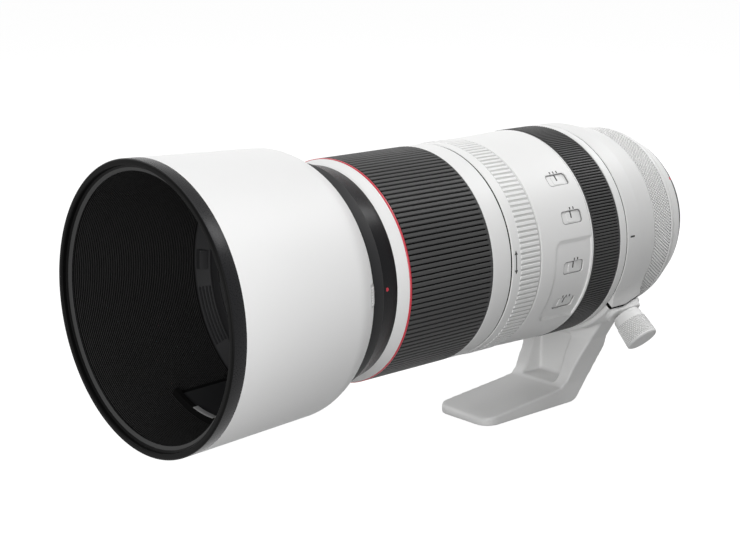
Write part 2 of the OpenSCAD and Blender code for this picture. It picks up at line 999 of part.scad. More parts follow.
module collar_ring() {
    front = -collar_front + end_gap / 2;
    color([0.91, 0.91, 0.9])
    difference() {
        turned()
        polygon([
            [collar_in, front],
            [collar_r - 0.4, front],
            [collar_r, front + 0.4],
            [collar_r, -collar_back - 13],
            [collar_r - 2.9, -collar_back],
            [collar_in, -collar_back]
        ]);
        swept(saddle_low - 1.4, saddle_high + 1.4)
        translate([saddle_in, -60])
        square([10, 40]);
        radial(knob_angle, knob_y, 0)
        cylinder(h = 60, r = shoe_r + play);
    }
}

// Side view of the foot, from the plate up to the collar
module foot_side() {
    rear = -collar_back - 0.8;
    front = -collar_front + 5.3;
    rotate([90, 0, 90])
    linear_extrude(height = 80, center = true)
    polygon([
        [-foot_front - 1, -foot_drop],
        [-50.5, -foot_drop],
        [-47.4, -foot_drop + 1.2],
        [-45, -foot_drop + 4],
        [-40.2, -69.2],
        [-33.6, -59.2],
        [rear, -55.5],
        [rear, -30],
        [front, -30],
        [front, -50],
        [-48.5, -57],
        [-51.5, -64.5],
        [-57, -70.3],
        [-62.5, -71],
        [-foot_front + 4, -foot_drop + 4.1],
        [-foot_front + 1, -foot_drop + 3.4],
        [-foot_front - 1, -foot_drop + 1]
    ]);
}

// End view of the arm of the foot, spreading towards the collar
module foot_arm() {
    half = foot_w / 2;
    rotate([90, 0, 0])
    translate([0, 0, 20])
    linear_extrude(height = 44)
    polygon([
        [-half + 0.5, -foot_drop + 2],
        [half - 0.5, -foot_drop + 2],
        [half - 0.5, -70],
        [half + 1.6, -60],
        [half + 4.6, -50],
        [half + 9, -42],
        [half + 11, -30],
        [-half - 11, -30],
        [-half - 9, -42],
        [-half - 4.6, -50],
        [-half - 1.6, -60],
        [-half + 0.5, -70]
    ]);
}

// Plan of the plate of the foot, with rounded front corners
module foot_plan() {
    half = foot_w / 2;
    corner = 6.5;
    translate([0, 0, -foot_drop - 1])
    linear_extrude(height = 9)
    union() {
        translate([-half, -foot_front + corner])
        square([foot_w, foot_front - corner - 40]);
        translate([-half + corner, -foot_front])
        square([foot_w - 2 * corner, 2 * corner]);
        translate([half - corner, -foot_front + corner])
        circle(r = corner);
        translate([-half + corner, -foot_front + corner])
        circle(r = corner);
    }
}

module tripod_foot() {
    front = -collar_front + end_gap / 2;
    color([0.88, 0.88, 0.88])
    difference() {
        union() {
            intersection() {
                foot_side();
                union() {
                    foot_arm();
                    foot_plan();
                }
            }
            swept(saddle_low, saddle_high)
            polygon([
                [saddle_in - 2, front],
                [saddle_out - 0.4, front],
                [saddle_out, front + 0.4],
                [saddle_out, -collar_back - 0.4],
                [saddle_out - 0.4, -collar_back],
                [saddle_in - 2, -collar_back]
            ]);
            clamp_pad();
        }
        rod(-120, 0, saddle_in + play);
        radial(knob_angle, knob_y, 0)
        cylinder(h = 80, r = shank_r + play);
        radial(knob_angle, knob_y, 0)
        cylinder(h = shoe_top + clear, r = shoe_r + play);
        rotate([90, 0, 90])
        linear_extrude(height = 19, center = true)
        polygon([[-66, -69.4], [-47, -69.4], [-43.9, -66], [-43.9, -48.6], [-66, -48.6]]);
        swept(saddle_high + 0.2, saddle_high + 20)
        translate([saddle_in - 1, -collar_front - 1])
        square([20, 40]);
        translate([0, -77, -foot_drop - 1])
        cylinder(h = 5.5, r = tripod_r);
    }
}

module clamp_knob() {
    color([0.9, 0.9, 0.89])
    radial(knob_angle, knob_y, 0)
    union() {
        translate([0, 0, knob_base])
        cylinder(h = 1.2, r = knob_r - 1);
        translate([0, 0, knob_base + 1.2])
        cylinder(h = knob_len - 1.7, r = knob_r);
        translate([0, 0, knob_base + knob_len - 0.5])
        cylinder(h = 0.5, r = knob_r - 0.6);
        translate([0, 0, shoe_top])
        cylinder(h = knob_base + 0.5 - shoe_top, r = shank_r);
    }
}

module brake_shoe() {
    color([0.35, 0.35, 0.36])
    radial(knob_angle, knob_y, shoe_low)
    cylinder(h = shoe_top - shoe_low, r = shoe_r);
}

module control_ring() {
    color([0.9, 0.9, 0.89])
    turned()
    polygon([
        [control_in, -control_front],
        [control_r - 0.3, -control_front],
        [control_r, -control_front + 0.3],
        [control_rear_r, -control_back - 0.3],
        [control_rear_r - 0.3, -control_back],
        [control_in, -control_back]
    ]);
}

module tail_ring() {
    color([0.9, 0.9, 0.89])
    difference() {
        turned()
        polygon([
            [rear_bore, tail_front],
            [control_rear_r - 0.5, tail_front],
            [control_rear_r - 0.3, tail_front + 0.4],
            [tail_r, -4],
            [mount_r + 1, -mount_t],
            [rear_bore, -mount_t]
        ]);
        index_dot(1.55, 2);
    }
}

module mount_plate() {
    color([0.7, 0.7, 0.71])
    difference() {
        union() {
            turned()
            polygon([
                [throat_r, -mount_t],
                [mount_r - 0.4, -mount_t],
                [mount_r, -mount_t + 0.4],
                [mount_r, -0.3],
                [mount_r - 0.3, 0],
                [tab_r - 1.3, 0],
                [tab_r - 1.3, neck_len],
                [throat_r, neck_len]
            ]);
            for (a = [80, 205, 320])
            swept(a, a + 50)
            translate([tab_r - 2, 2.8])
            square([2, 1.9]);
        }
        for (a = [45, 135, 225, 315])
        rotate([0, -a, 0])
        translate([screw_circle, 0, 0])
        rod(-1.4, 2, 2.3);
        for (a = [45, 135, 225, 315])
        rotate([0, -a, 0])
        translate([screw_circle, 0, 0])
        rod(-mount_t - 1, 2, 1.1);
    }
}

module mount_screws() {
    color([0.6, 0.6, 0.62])
    for (a = [45, 135, 225, 315])
    rotate([0, -a, 0])
    translate([screw_circle, 0, 0])
    difference() {
        union() {
            rod(-1.4, -0.1, 2.2);
            rod(-mount_t, -1.3, 1);
        }
        translate([-0.3, -0.6, -1.3])
        cube([0.6, 1, 2.6]);
        translate([-1.3, -0.6, -0.3])
        cube([2.6, 1, 0.6]);
    }
}

module contact_block() {
    color([0.08, 0.08, 0.08])
    swept(-126, -54)
    translate([throat_r - 2.6, -3])
    square([2.6, 6.4]);
}

module contact_pins() {
    color([0.85, 0.68, 0.25])
    for (i = [0 : 11])
    rotate([0, 119.5 - i * 5.4, 0])
    translate([throat_r - 1.35, 0, 0])
    rod(3.4, 3.9, 0.7);
}

module index_dot(r, h) {
    slope = atan2(control_rear_r - 0.3 - tail_r, control_back - 4);
    radial(34, -6.2, tail_r + 0.7)
    rotate([-slope, 0, 0])
    cylinder(h = h, r = r, $fn = 32);
}

module mount_index() {
    color([0.8, 0.1, 0.12])
    index_dot(1.5, 0.6);
}

hood_shell();
hood_rim();
hood_liner();
hood_bayonet();
hood_button();
window_frame();
window_door();
front_ring();
hood_index();
name_ring();
red_ring();
inner_tube();
front_cell();
front_glass();
second_glass();
front_retainer();
tube_pins();
zoom_ring();
zoom_grip();
zoom_key();
cam_barrel();
tension_ring();
main_barrel();
switch_panel();
switch_range();
switch_focus();
switch_steady();
switch_mode();
focus_ring();
focus_grip();
guide_barrel();
zoom_cell();
zoom_glass();
zoom_pins();
steady_frame();
steady_yoke();
steady_cell();
steady_glass();
iris_housing();
iris_blades();
focus_rods();
focus_motor();
focus_cell();
focus_glass();
circuit_board();
rear_cell();
rear_glass();
rear_barrel();
collar_ring();
tripod_foot();
clamp_knob();
brake_shoe();
control_ring();
tail_ring();
mount_plate();
mount_screws();
contact_block();
contact_pins();
mount_index();
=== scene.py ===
import math

import bmesh
import bpy
from mathutils import Matrix, Vector


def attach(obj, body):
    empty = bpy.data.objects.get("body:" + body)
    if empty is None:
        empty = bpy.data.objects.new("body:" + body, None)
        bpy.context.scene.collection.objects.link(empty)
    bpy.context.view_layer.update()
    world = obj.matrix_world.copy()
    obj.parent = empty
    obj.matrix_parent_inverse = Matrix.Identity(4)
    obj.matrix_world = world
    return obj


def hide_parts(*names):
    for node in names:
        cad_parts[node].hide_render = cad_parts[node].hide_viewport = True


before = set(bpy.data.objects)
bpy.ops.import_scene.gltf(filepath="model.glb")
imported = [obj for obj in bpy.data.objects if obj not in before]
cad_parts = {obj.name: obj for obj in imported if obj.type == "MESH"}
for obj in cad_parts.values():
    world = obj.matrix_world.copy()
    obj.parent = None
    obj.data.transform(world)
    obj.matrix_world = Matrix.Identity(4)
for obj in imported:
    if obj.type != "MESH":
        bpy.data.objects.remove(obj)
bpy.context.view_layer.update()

MM = 0.001
MERGE_DISTANCE = 1e-6
SAME_SPOT = 2e-6

# Angles are in degrees about the optical axis, up from the right-hand side. Stations are in millimetres
# along the axis, from the mount face, and the front of the lens is on the negative side.
BUTTON_ANGLE = 3.8
PANEL_ANGLE = -14.8
KNOB_ANGLE = -43.7
KNOB_STATION = -40.825
COLLAR_FRONT = -52.95
# How much the main barrel's radius grows with its length
BARREL_FLARE = 0.0259
# Points in one row of the knob's knurl
KNOB_POINTS = 40
# The studio is in metres.
FLOOR_HEIGHT = -0.0787
LAMP_TARGET = (0.0, -0.13, 0.0)


# Camera at the photograph's viewing angle
def set_camera():
    turn_round, lift, tilt = math.radians(47.7535), math.radians(13.8512), math.radians(0.2393)
    back = Vector((math.sin(turn_round) * math.cos(lift), -math.cos(turn_round) * math.cos(lift),
                   math.sin(lift)))
    level = Vector((math.cos(turn_round), math.sin(turn_round), 0.0))
    right = math.cos(tilt) * level + math.sin(tilt) * back.cross(level)
    up = back.cross(right)
    lens = bpy.data.cameras.new("photo_camera")
    lens.lens = 77.84
    lens.sensor_width = 36.0
    lens.sensor_fit = "HORIZONTAL"
    lens.clip_start = 0.01
    camera = bpy.data.objects.new("photo_camera", lens)
    bpy.context.scene.collection.objects.link(camera)
    facing = Matrix((right, up, back)).transposed().to_4x4()
    camera.matrix_world = Matrix.Translation((0.465109, -0.582258, 0.149193)) @ facing
    bpy.context.scene.camera = camera


# Drawing and turning in edit mode
def clear_selection():
    if bpy.context.object and bpy.context.object.mode != "OBJECT":
        bpy.ops.object.mode_set(mode="OBJECT")
    bpy.ops.object.select_all(action="DESELECT")


def pick(piece):
    clear_selection()
    piece.select_set(True)
    bpy.context.view_layer.objects.active = piece


def edit_all(piece):
    pick(piece)
    bpy.ops.object.mode_set(mode="EDIT")
    bpy.ops.mesh.select_mode(type="VERT")
    bpy.ops.mesh.select_all(action="SELECT")


def named(name):
    piece = bpy.context.object
    piece.name = name
    piece.data.name = name
    return piece


def beside_axis(radius, station):
    return Vector((radius * MM, station * MM, 0.0))


def round_axis(angle, radius, station):
    """A place beside the axis, turned up from the side."""
    return Matrix.Rotation(-math.radians(angle), 3, "Y") @ beside_axis(radius, station)


def side_view(station, height):
    return Vector((0.0, station * MM, height * MM))


def end_view(across, height):
    return Vector((across * MM, 0.0, height * MM))


def plan_view(across, station):
    return Vector((across * MM, station * MM, 0.0))


def pick_points(piece, spots):
    form = bmesh.from_edit_mesh(piece.data)
    for point in form.verts:
        point.select_set(any((point.co - spot).length < SAME_SPOT for spot in spots))
    form.select_flush_mode()
    bmesh.update_edit_mesh(piece.data)


def pick_edges(piece, wanted):
    bpy.ops.mesh.select_mode(type="EDGE")
    form = bmesh.from_edit_mesh(piece.data)
    for edge in form.edges:
        edge.select_set(False)
    for edge in form.edges:
        if wanted(edge):
            edge.select_set(True)
    bmesh.update_edit_mesh(piece.data)


def sharp(edge):
    return len(edge.link_faces) == 2 and edge.calc_face_angle() > 1.0


def draw_outline(name, corners, place):
    """A closed outline, drawn corner by corner. A third number rounds that corner."""
    clear_selection()
    bpy.ops.mesh.primitive_plane_add(size=MM, location=(0, 0, 0))
    piece = named(name)
    edit_all(piece)
    bpy.ops.mesh.merge(type="CENTER")
    spots = [place(*corner[:2]) for corner in corners]
    bpy.ops.transform.translate(value=spots[0])
    for here, there in zip(spots, spots[1:] + spots[:1]):
        bpy.ops.mesh.extrude_vertices_move(TRANSFORM_OT_translate={"value": there - here})
    bpy.ops.mesh.select_all(action="SELECT")
    bpy.ops.mesh.remove_doubles(threshold=MERGE_DISTANCE)
    for size in sorted({corner[2] for corner in corners if len(corner) > 2}, reverse=True):
        rounded = [spot for spot, corner in zip(spots, corners) if len(corner) > 2 and corner[2] == size]
        pick_points(piece, rounded)
        bpy.ops.mesh.bevel(offset=size * MM, segments=4, affect="VERTICES")
    bpy.ops.mesh.select_all(action="SELECT")
    return piece


def close_up(piece, smooth=30):
    """Merge doubles, turn the faces outwards and shade by angle."""
    bpy.ops.mesh.select_all(action="SELECT")
    bpy.ops.mesh.remove_doubles(threshold=MERGE_DISTANCE)
    bpy.ops.mesh.delete_loose(use_verts=True, use_edges=True, use_faces=False)
    bpy.ops.mesh.select_all(action="SELECT")
    bpy.ops.mesh.normals_make_consistent(inside=False)
    bpy.ops.object.mode_set(mode="OBJECT")
    bpy.ops.object.shade_smooth_by_angle(angle=math.radians(smooth))
    return piece


def turned(name, corners, steps=256):
    """A ring: radius and station of each corner, spun all round."""
    piece = draw_outline(name, corners, beside_axis)
    bpy.ops.mesh.spin(steps=steps, angle=2 * math.pi, center=(0, 0, 0), axis=(0, 1, 0), use_auto_merge=True)
    return close_up(piece)


def swept(name, corners, low, high, steps=48):
    """Part of a ring, from one angle to another."""
    piece = draw_outline(name, corners, lambda radius, station: round_axis(low, radius, station))
    bpy.ops.mesh.edge_face_add()
    bpy.ops.mesh.select_all(action="SELECT")
    bpy.ops.mesh.spin(steps=steps, angle=math.radians(high - low), center=(0, 0, 0), axis=(0, 1, 0))
    return close_up(piece)


def slab(name, corners, place, start, depth):
    """A drawn outline, moved to its start and drawn out by its depth."""
    piece = draw_outline(name, corners, place)
    bpy.ops.mesh.edge_face_add()
    bpy.ops.mesh.select_all(action="SELECT")
    bpy.ops.transform.translate(value=Vector(start) * MM)
    bpy.ops.mesh.extrude_region_move(TRANSFORM_OT_translate={"value": Vector(depth) * MM})
    return close_up(piece)


def block(name, low, high, edge=0.0):
    """A box between two corners with its edges eased."""
    clear_selection()
    bpy.ops.mesh.primitive_cube_add(size=1, location=(0, 0, 0))
    piece = named(name)
    edit_all(piece)
    low, high = Vector(low) * MM, Vector(high) * MM
    bpy.ops.transform.resize(value=high - low, center_override=(0, 0, 0))
    bpy.ops.transform.translate(value=(low + high) / 2)
    if edge:
        bpy.ops.mesh.bevel(offset=edge * MM, segments=1, affect="EDGES")
    return close_up(piece)


def round_edges(piece, way, size, segments):
    """Round the edges of a box that run one way: 0 outwards, 1 along the axis, 2 upright."""
    edit_all(piece)
    pick_edges(piece, lambda edge: abs(edge.verts[0].co[way] - edge.verts[1].co[way]) > 1e-4)
    bpy.ops.mesh.bevel(offset=size * MM, segments=segments, affect="EDGES")
    return close_up(piece)


def diamond(name, radius, rise, station, half_length, half_width, tip=0.3):
    """One point of a knurl, standing on a turned surface."""
    clear_selection()
    bpy.ops.mesh.primitive_cone_add(vertices=4, radius1=MM, radius2=tip * MM, depth=rise * MM,
                                    rotation=(0, math.pi / 2, 0), location=(0, 0, 0))
    piece = named(name)
    bpy.ops.object.transform_apply(location=False, rotation=True, scale=False)
    edit_all(piece)
    bpy.ops.transform.resize(value=(1, half_length, half_width), center_override=(0, 0, 0))
    bpy.ops.transform.translate(value=((radius + rise / 2) * MM, station * MM, 0))
    return close_up(piece, smooth=10)


def ring_of(piece, count, turn=0.0):
    """Copies of one shape all round the optical axis."""
    if turn:
        set_round(piece, turn)
    edit_all(piece)
    bpy.ops.mesh.spin(steps=count - 1, dupli=True, angle=2 * math.pi * (count - 1) / count,
                      center=(0, 0, 0), axis=(0, 1, 0))
    bpy.ops.mesh.select_all(action="SELECT")
    bpy.ops.mesh.normals_make_consistent(inside=False)
    bpy.ops.object.mode_set(mode="OBJECT")
    return piece


def set_round(piece, angle):
    """Turn a finished shape about the optical axis, up from the side."""
    pick(piece)
    piece.rotation_euler = (0, -math.radians(angle), 0)
    bpy.ops.object.transform_apply(location=False, rotation=True, scale=False)
    return piece


def joined(piece, *others):
    pick(piece)
    for other in others:
        other.select_set(True)
    bpy.ops.object.join()
    return piece


def shaped(piece, tool, action):
    """Cut, add or keep what a second solid covers, then put that solid away."""
    pick(piece)
    step = piece.modifiers.new("shape", "BOOLEAN")
    step.operation = action
    step.solver = "EXACT"
    step.object = tool
    bpy.ops.object.modifier_apply(modifier=step.name)
    bpy.data.objects.remove(tool, do_unlink=True)
    return piece


def cut(piece, *tools):
    for tool in tools:
        shaped(piece, tool, "DIFFERENCE")
    pick(piece)
    bpy.ops.object.shade_smooth_by_angle(angle=math.radians(30))
    return piece


# Finishes, and the painted light and shade
def finish(name, tone, shade, rough, metal=0.0, patch=35.0, grain=1600.0, depth=0.012, swing=0.06, level=0.5):
    """A tone that drifts slowly, a gloss that varies and a fine grain."""
    made = bpy.data.materials.new(name)
    made.use_nodes = True
    nodes, links = made.node_tree.nodes, made.node_tree.links
    shader = nodes["Principled BSDF"]
    shader.inputs["Metallic"].default_value = metal
    shader.inputs["Specular IOR Level"].default_value = level
    where = nodes.new("ShaderNodeTexCoord")
    slow = nodes.new("ShaderNodeTexNoise")
    slow.inputs["Scale"].default_value = patch
    slow.inputs["Detail"].default_value = 3.0
    links.new(where.outputs["Object"], slow.inputs["Vector"])
    # Inputs 6 and 7 are the two colours of a colour mix, and output 2 is the mixed colour.
    blend = nodes.new("ShaderNodeMix")
    blend.data_type = "RGBA"
    blend.inputs[6].default_value = (*tone, 1.0)
    blend.inputs[7].default_value = (*shade, 1.0)
    links.new(slow.outputs["Fac"], blend.inputs[0])
    links.new(blend.outputs[2], shader.inputs["Base Color"])
    fine = nodes.new("ShaderNodeTexNoise")
    fine.inputs["Scale"].default_value = grain
    fine.inputs["Detail"].default_value = 2.0
    links.new(where.outputs["Object"], fine.inputs["Vector"])
    gloss = nodes.new("ShaderNodeMapRange")
    gloss.inputs["To Min"].default_value = max(rough - swing, 0.02)
    gloss.inputs["To Max"].default_value = min(rough + swing, 1.0)
    links.new(fine.outputs["Fac"], gloss.inputs["Value"])
    links.new(gloss.outputs["Result"], shader.inputs["Roughness"])
    relief = nodes.new("ShaderNodeBump")
    relief.inputs["Strength"].default_value = 0.6
    relief.inputs["Distance"].default_value = depth * MM
    links.new(fine.outputs["Fac"], relief.inputs["Height"])
    links.new(relief.outputs["Normal"], shader.inputs["Normal"])
    return made


def turned_metal(name, tone, shade, rough):
    """Metal with fine tool marks round the optical axis."""
    made = finish(name, tone, shade, rough, metal=1.0, patch=60.0, grain=900.0, depth=0.004)
    nodes, links = made.node_tree.nodes, made.node_tree.links
    where = next(node for node in nodes if node.type == "TEX_COORD")
    relief = next(node for node in nodes if node.type == "BUMP")
    marks = nodes.new("ShaderNodeTexWave")
    marks.wave_type = "RINGS"
    marks.rings_direction = "Y"
    marks.inputs["Scale"].default_value = 700.0
    marks.inputs["Distortion"].default_value = 1.5
    links.new(where.outputs["Object"], marks.inputs["Vector"])
    links.new(marks.outputs["Fac"], relief.inputs["Height"])
    return made


def coated_glass(name, tint, film):
    """Clear glass under a thin coating, whose thickness is in nanometres."""
    deeper = tuple(0.92 * part for part in tint)
    made = finish(name, tint, deeper, 0.03, grain=300.0, depth=0.0004, swing=0.02)
    shader = made.node_tree.nodes["Principled BSDF"]
    shader.inputs["Transmission Weight"].default_value = 1.0
    shader.inputs["IOR"].default_value = 1.6
    shader.inputs["Thin Film Thickness"].default_value = film
    shader.inputs["Thin Film IOR"].default_value = 1.38
    return made


white_paint = finish("white_paint", (0.86, 0.86, 0.855), (0.83, 0.83, 0.825), 0.50, grain=2200.0, depth=0.010)
hood_white = finish("hood_white", (0.87, 0.87, 0.868), (0.845, 0.845, 0.842), 0.52, grain=1900.0, depth=0.008)
casting_white = finish("casting_white", (0.82, 0.82, 0.815), (0.78, 0.78, 0.775), 0.48, grain=1500.0,
                       depth=0.022)
grip_rubber = finish("grip_rubber", (0.078, 0.078, 0.078), (0.064, 0.064, 0.064), 0.5, grain=1300.0,
                     depth=0.02, level=0.12)
# Painted shade: a near-black copy of the grip rubber for the ground between the grip ribs, where shade falls.
painted_groove_shade = finish("painted_groove_shade", (0.008, 0.008, 0.008), (0.005, 0.005, 0.005), 0.8,
                       grain=1300.0, level=0.1)
satin_black = finish("satin_black", (0.009, 0.009, 0.010), (0.007, 0.007, 0.008), 0.28, grain=1800.0,
                     depth=0.005, level=0.15)
# Painted shade: a darker copy of the rim's black for the front face and inner wall of the hood's rim.
painted_rim_shade = finish("painted_rim_shade", (0.004, 0.004, 0.004), (0.003, 0.003, 0.003), 0.4, grain=1800.0,
                    depth=0.004, level=0.05)
# Painted highlight: a lighter copy of the rim's black for the lip inside the hood's rim.
painted_lip_highlight = finish("painted_lip_highlight", (0.055, 0.055, 0.055), (0.046, 0.046, 0.046), 0.6, grain=1700.0, level=0.15)
matte_black = finish("matte_black", (0.024, 0.024, 0.025), (0.018, 0.018, 0.019), 0.55, grain=1700.0,
                     depth=0.010, level=0.15)
gloss_black = finish("gloss_black", (0.003, 0.003, 0.004), (0.002, 0.002, 0.003), 0.25, grain=1200.0,
                     depth=0.003, level=0.05)
# Near-black: the hood window frame's own black, and painted shade in the grooves of the hood's liner.
frame_black_and_groove_shade = finish("frame_black_and_groove_shade", (0.007, 0.007, 0.007), (0.005, 0.005, 0.005), 0.8, grain=2400.0,
                      level=0.03)
liner_black = finish("liner_black", (0.050, 0.050, 0.050), (0.040, 0.040, 0.040), 0.8, grain=2400.0,
                     depth=0.015, level=0.08)
# Painted shadow: a dark grey for the outlines round the switch windows and for the floor of a barrel groove.
painted_outline_shadow = finish("painted_outline_shadow", (0.28, 0.28, 0.28), (0.24, 0.24, 0.24), 0.6, grain=1600.0, level=0.1)
# Painted shade: a grey copy of the white paint for the ground between ridges, teeth and knurl points.
painted_ground_shade = finish("painted_ground_shade", (0.56, 0.56, 0.555), (0.52, 0.52, 0.515), 0.5, grain=1800.0, depth=0.008)
# Painted shadow: near-black for rings and inserts put into seams and gaps, where shade falls.
painted_seam_shadow = finish("painted_seam_shadow", (0.006, 0.006, 0.006), (0.004, 0.004, 0.004), 0.8, grain=1600.0, level=0.03)
# Painted shade: a grey copy of the white paint for the ground between the control ring's knurl points.
painted_knurl_shade = finish("painted_knurl_shade", (0.46, 0.46, 0.455), (0.40, 0.40, 0.395), 0.5, grain=1700.0, depth=0.008)
edge_black = finish("edge_black", (0.030, 0.030, 0.032), (0.022, 0.022, 0.024), 0.45, grain=900.0,
                    depth=0.004, level=0.06)
red_lacquer = finish("red_lacquer", (0.58, 0.018, 0.042), (0.50, 0.014, 0.034), 0.35, grain=1500.0,
                     depth=0.004)
# A light grey for the strip along the front edge of the hood's window.
light_grey_strip = finish("light_grey_strip", (0.34, 0.34, 0.34), (0.29, 0.29, 0.29), 0.5, grain=1600.0, depth=0.008)
black_ink = finish("black_ink", (0.015, 0.015, 0.016), (0.022, 0.022, 0.022), 0.6, grain=2600.0, depth=0.003)
board_green = finish("board_green", (0.03, 0.16, 0.08), (0.02, 0.11, 0.05), 0.45, patch=180.0, grain=700.0)
mount_steel = turned_metal("mount_steel", (0.56, 0.56, 0.55), (0.48, 0.48, 0.47), 0.28)
tube_alloy = turned_metal("tube_alloy", (0.42, 0.42, 0.43), (0.36, 0.36, 0.37), 0.38)
pin_brass = turned_metal("pin_brass", (0.62, 0.45, 0.18), (0.54, 0.38, 0.14), 0.32)
contact_gold = turned_metal("contact_gold", (0.80, 0.58, 0.20), (0.72, 0.50, 0.16), 0.25)
front_coating = coated_glass("front_coating", (0.86, 0.92, 0.90), 340.0)
inner_coating = coated_glass("inner_coating", (0.90, 0.94, 0.92), 280.0)


def dress(piece, look, body, slot, *nodes):
    piece.data.materials.clear()
    piece.data.materials.append(look)
    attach(piece, body)
    if nodes:
        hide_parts(*nodes)
    return piece


def second_look(piece, look, chosen):
    """Give some faces of a piece another material, by their place: a finish of their own, or painted light or
    shade.
    """
    piece.data.materials.append(look)
    index = len(piece.data.materials) - 1
    for face in piece.data.polygons:
        middle = face.center / MM
        if chosen(math.hypot(middle.x, middle.z), middle.y):
            face.material_index = index


def shade_ground(piece, look, ground):
    """Painted shade, as another material on the listed ground faces between raised points."""
    piece.data.materials.append(look)
    for index in ground:
        piece.data.polygons[index].material_index = len(piece.data.materials) - 1


def ground_faces(piece, chosen):
    """The faces of a plain shape that its raised points will stand on."""
    return [face.index for face in piece.data.polygons if chosen(face.center / MM)]


def printed(name, radius, front, back, low, high, body):
    """A thin mark that lies on a turned surface."""
    sunk, proud = radius - 0.12, radius + 0.035
    mark = swept(name, [(sunk, front), (proud, front), (proud, back), (sunk, back)], low, high,
                 steps=max(2, int(abs(high - low) / 1.5)))
    return dress(mark, black_ink, body, "black_plastic")


def index_dot(name, angle, station, low, high, radius, body, node):
    """A round spot of lacquer set into a turned surface."""
    dot = block(name, (low, station - radius, -radius), (high, station + radius, radius))
    round_edges(dot, 0, 0.97 * radius, 6)
    return dress(set_round(dot, angle), red_lacquer, body, "red_paint", node)


# Hood
def cone(station):
    """Outside radius of the hood's straight flare."""
    return 52.3 - (station + 210.8) * 2.35 / 54.3


def bore(station):
    """Radius inside the lining's lands."""
    return cone(station) - 3.9


def window_tool():
    tool = swept("window_tool", [(40, -239.1), (62, -239.1), (62, -217.1), (40, -217.1)], -115, -65)
    edit_all(tool)
    pick_edges(tool, lambda edge: sharp(edge) and edge.calc_length() > 0.02
               and abs(edge.verts[0].co.y - edge.verts[1].co.y) < 1e-6)
    bpy.ops.mesh.bevel(offset=2.2 * MM, segments=5, affect="EDGES")
    return close_up(tool)


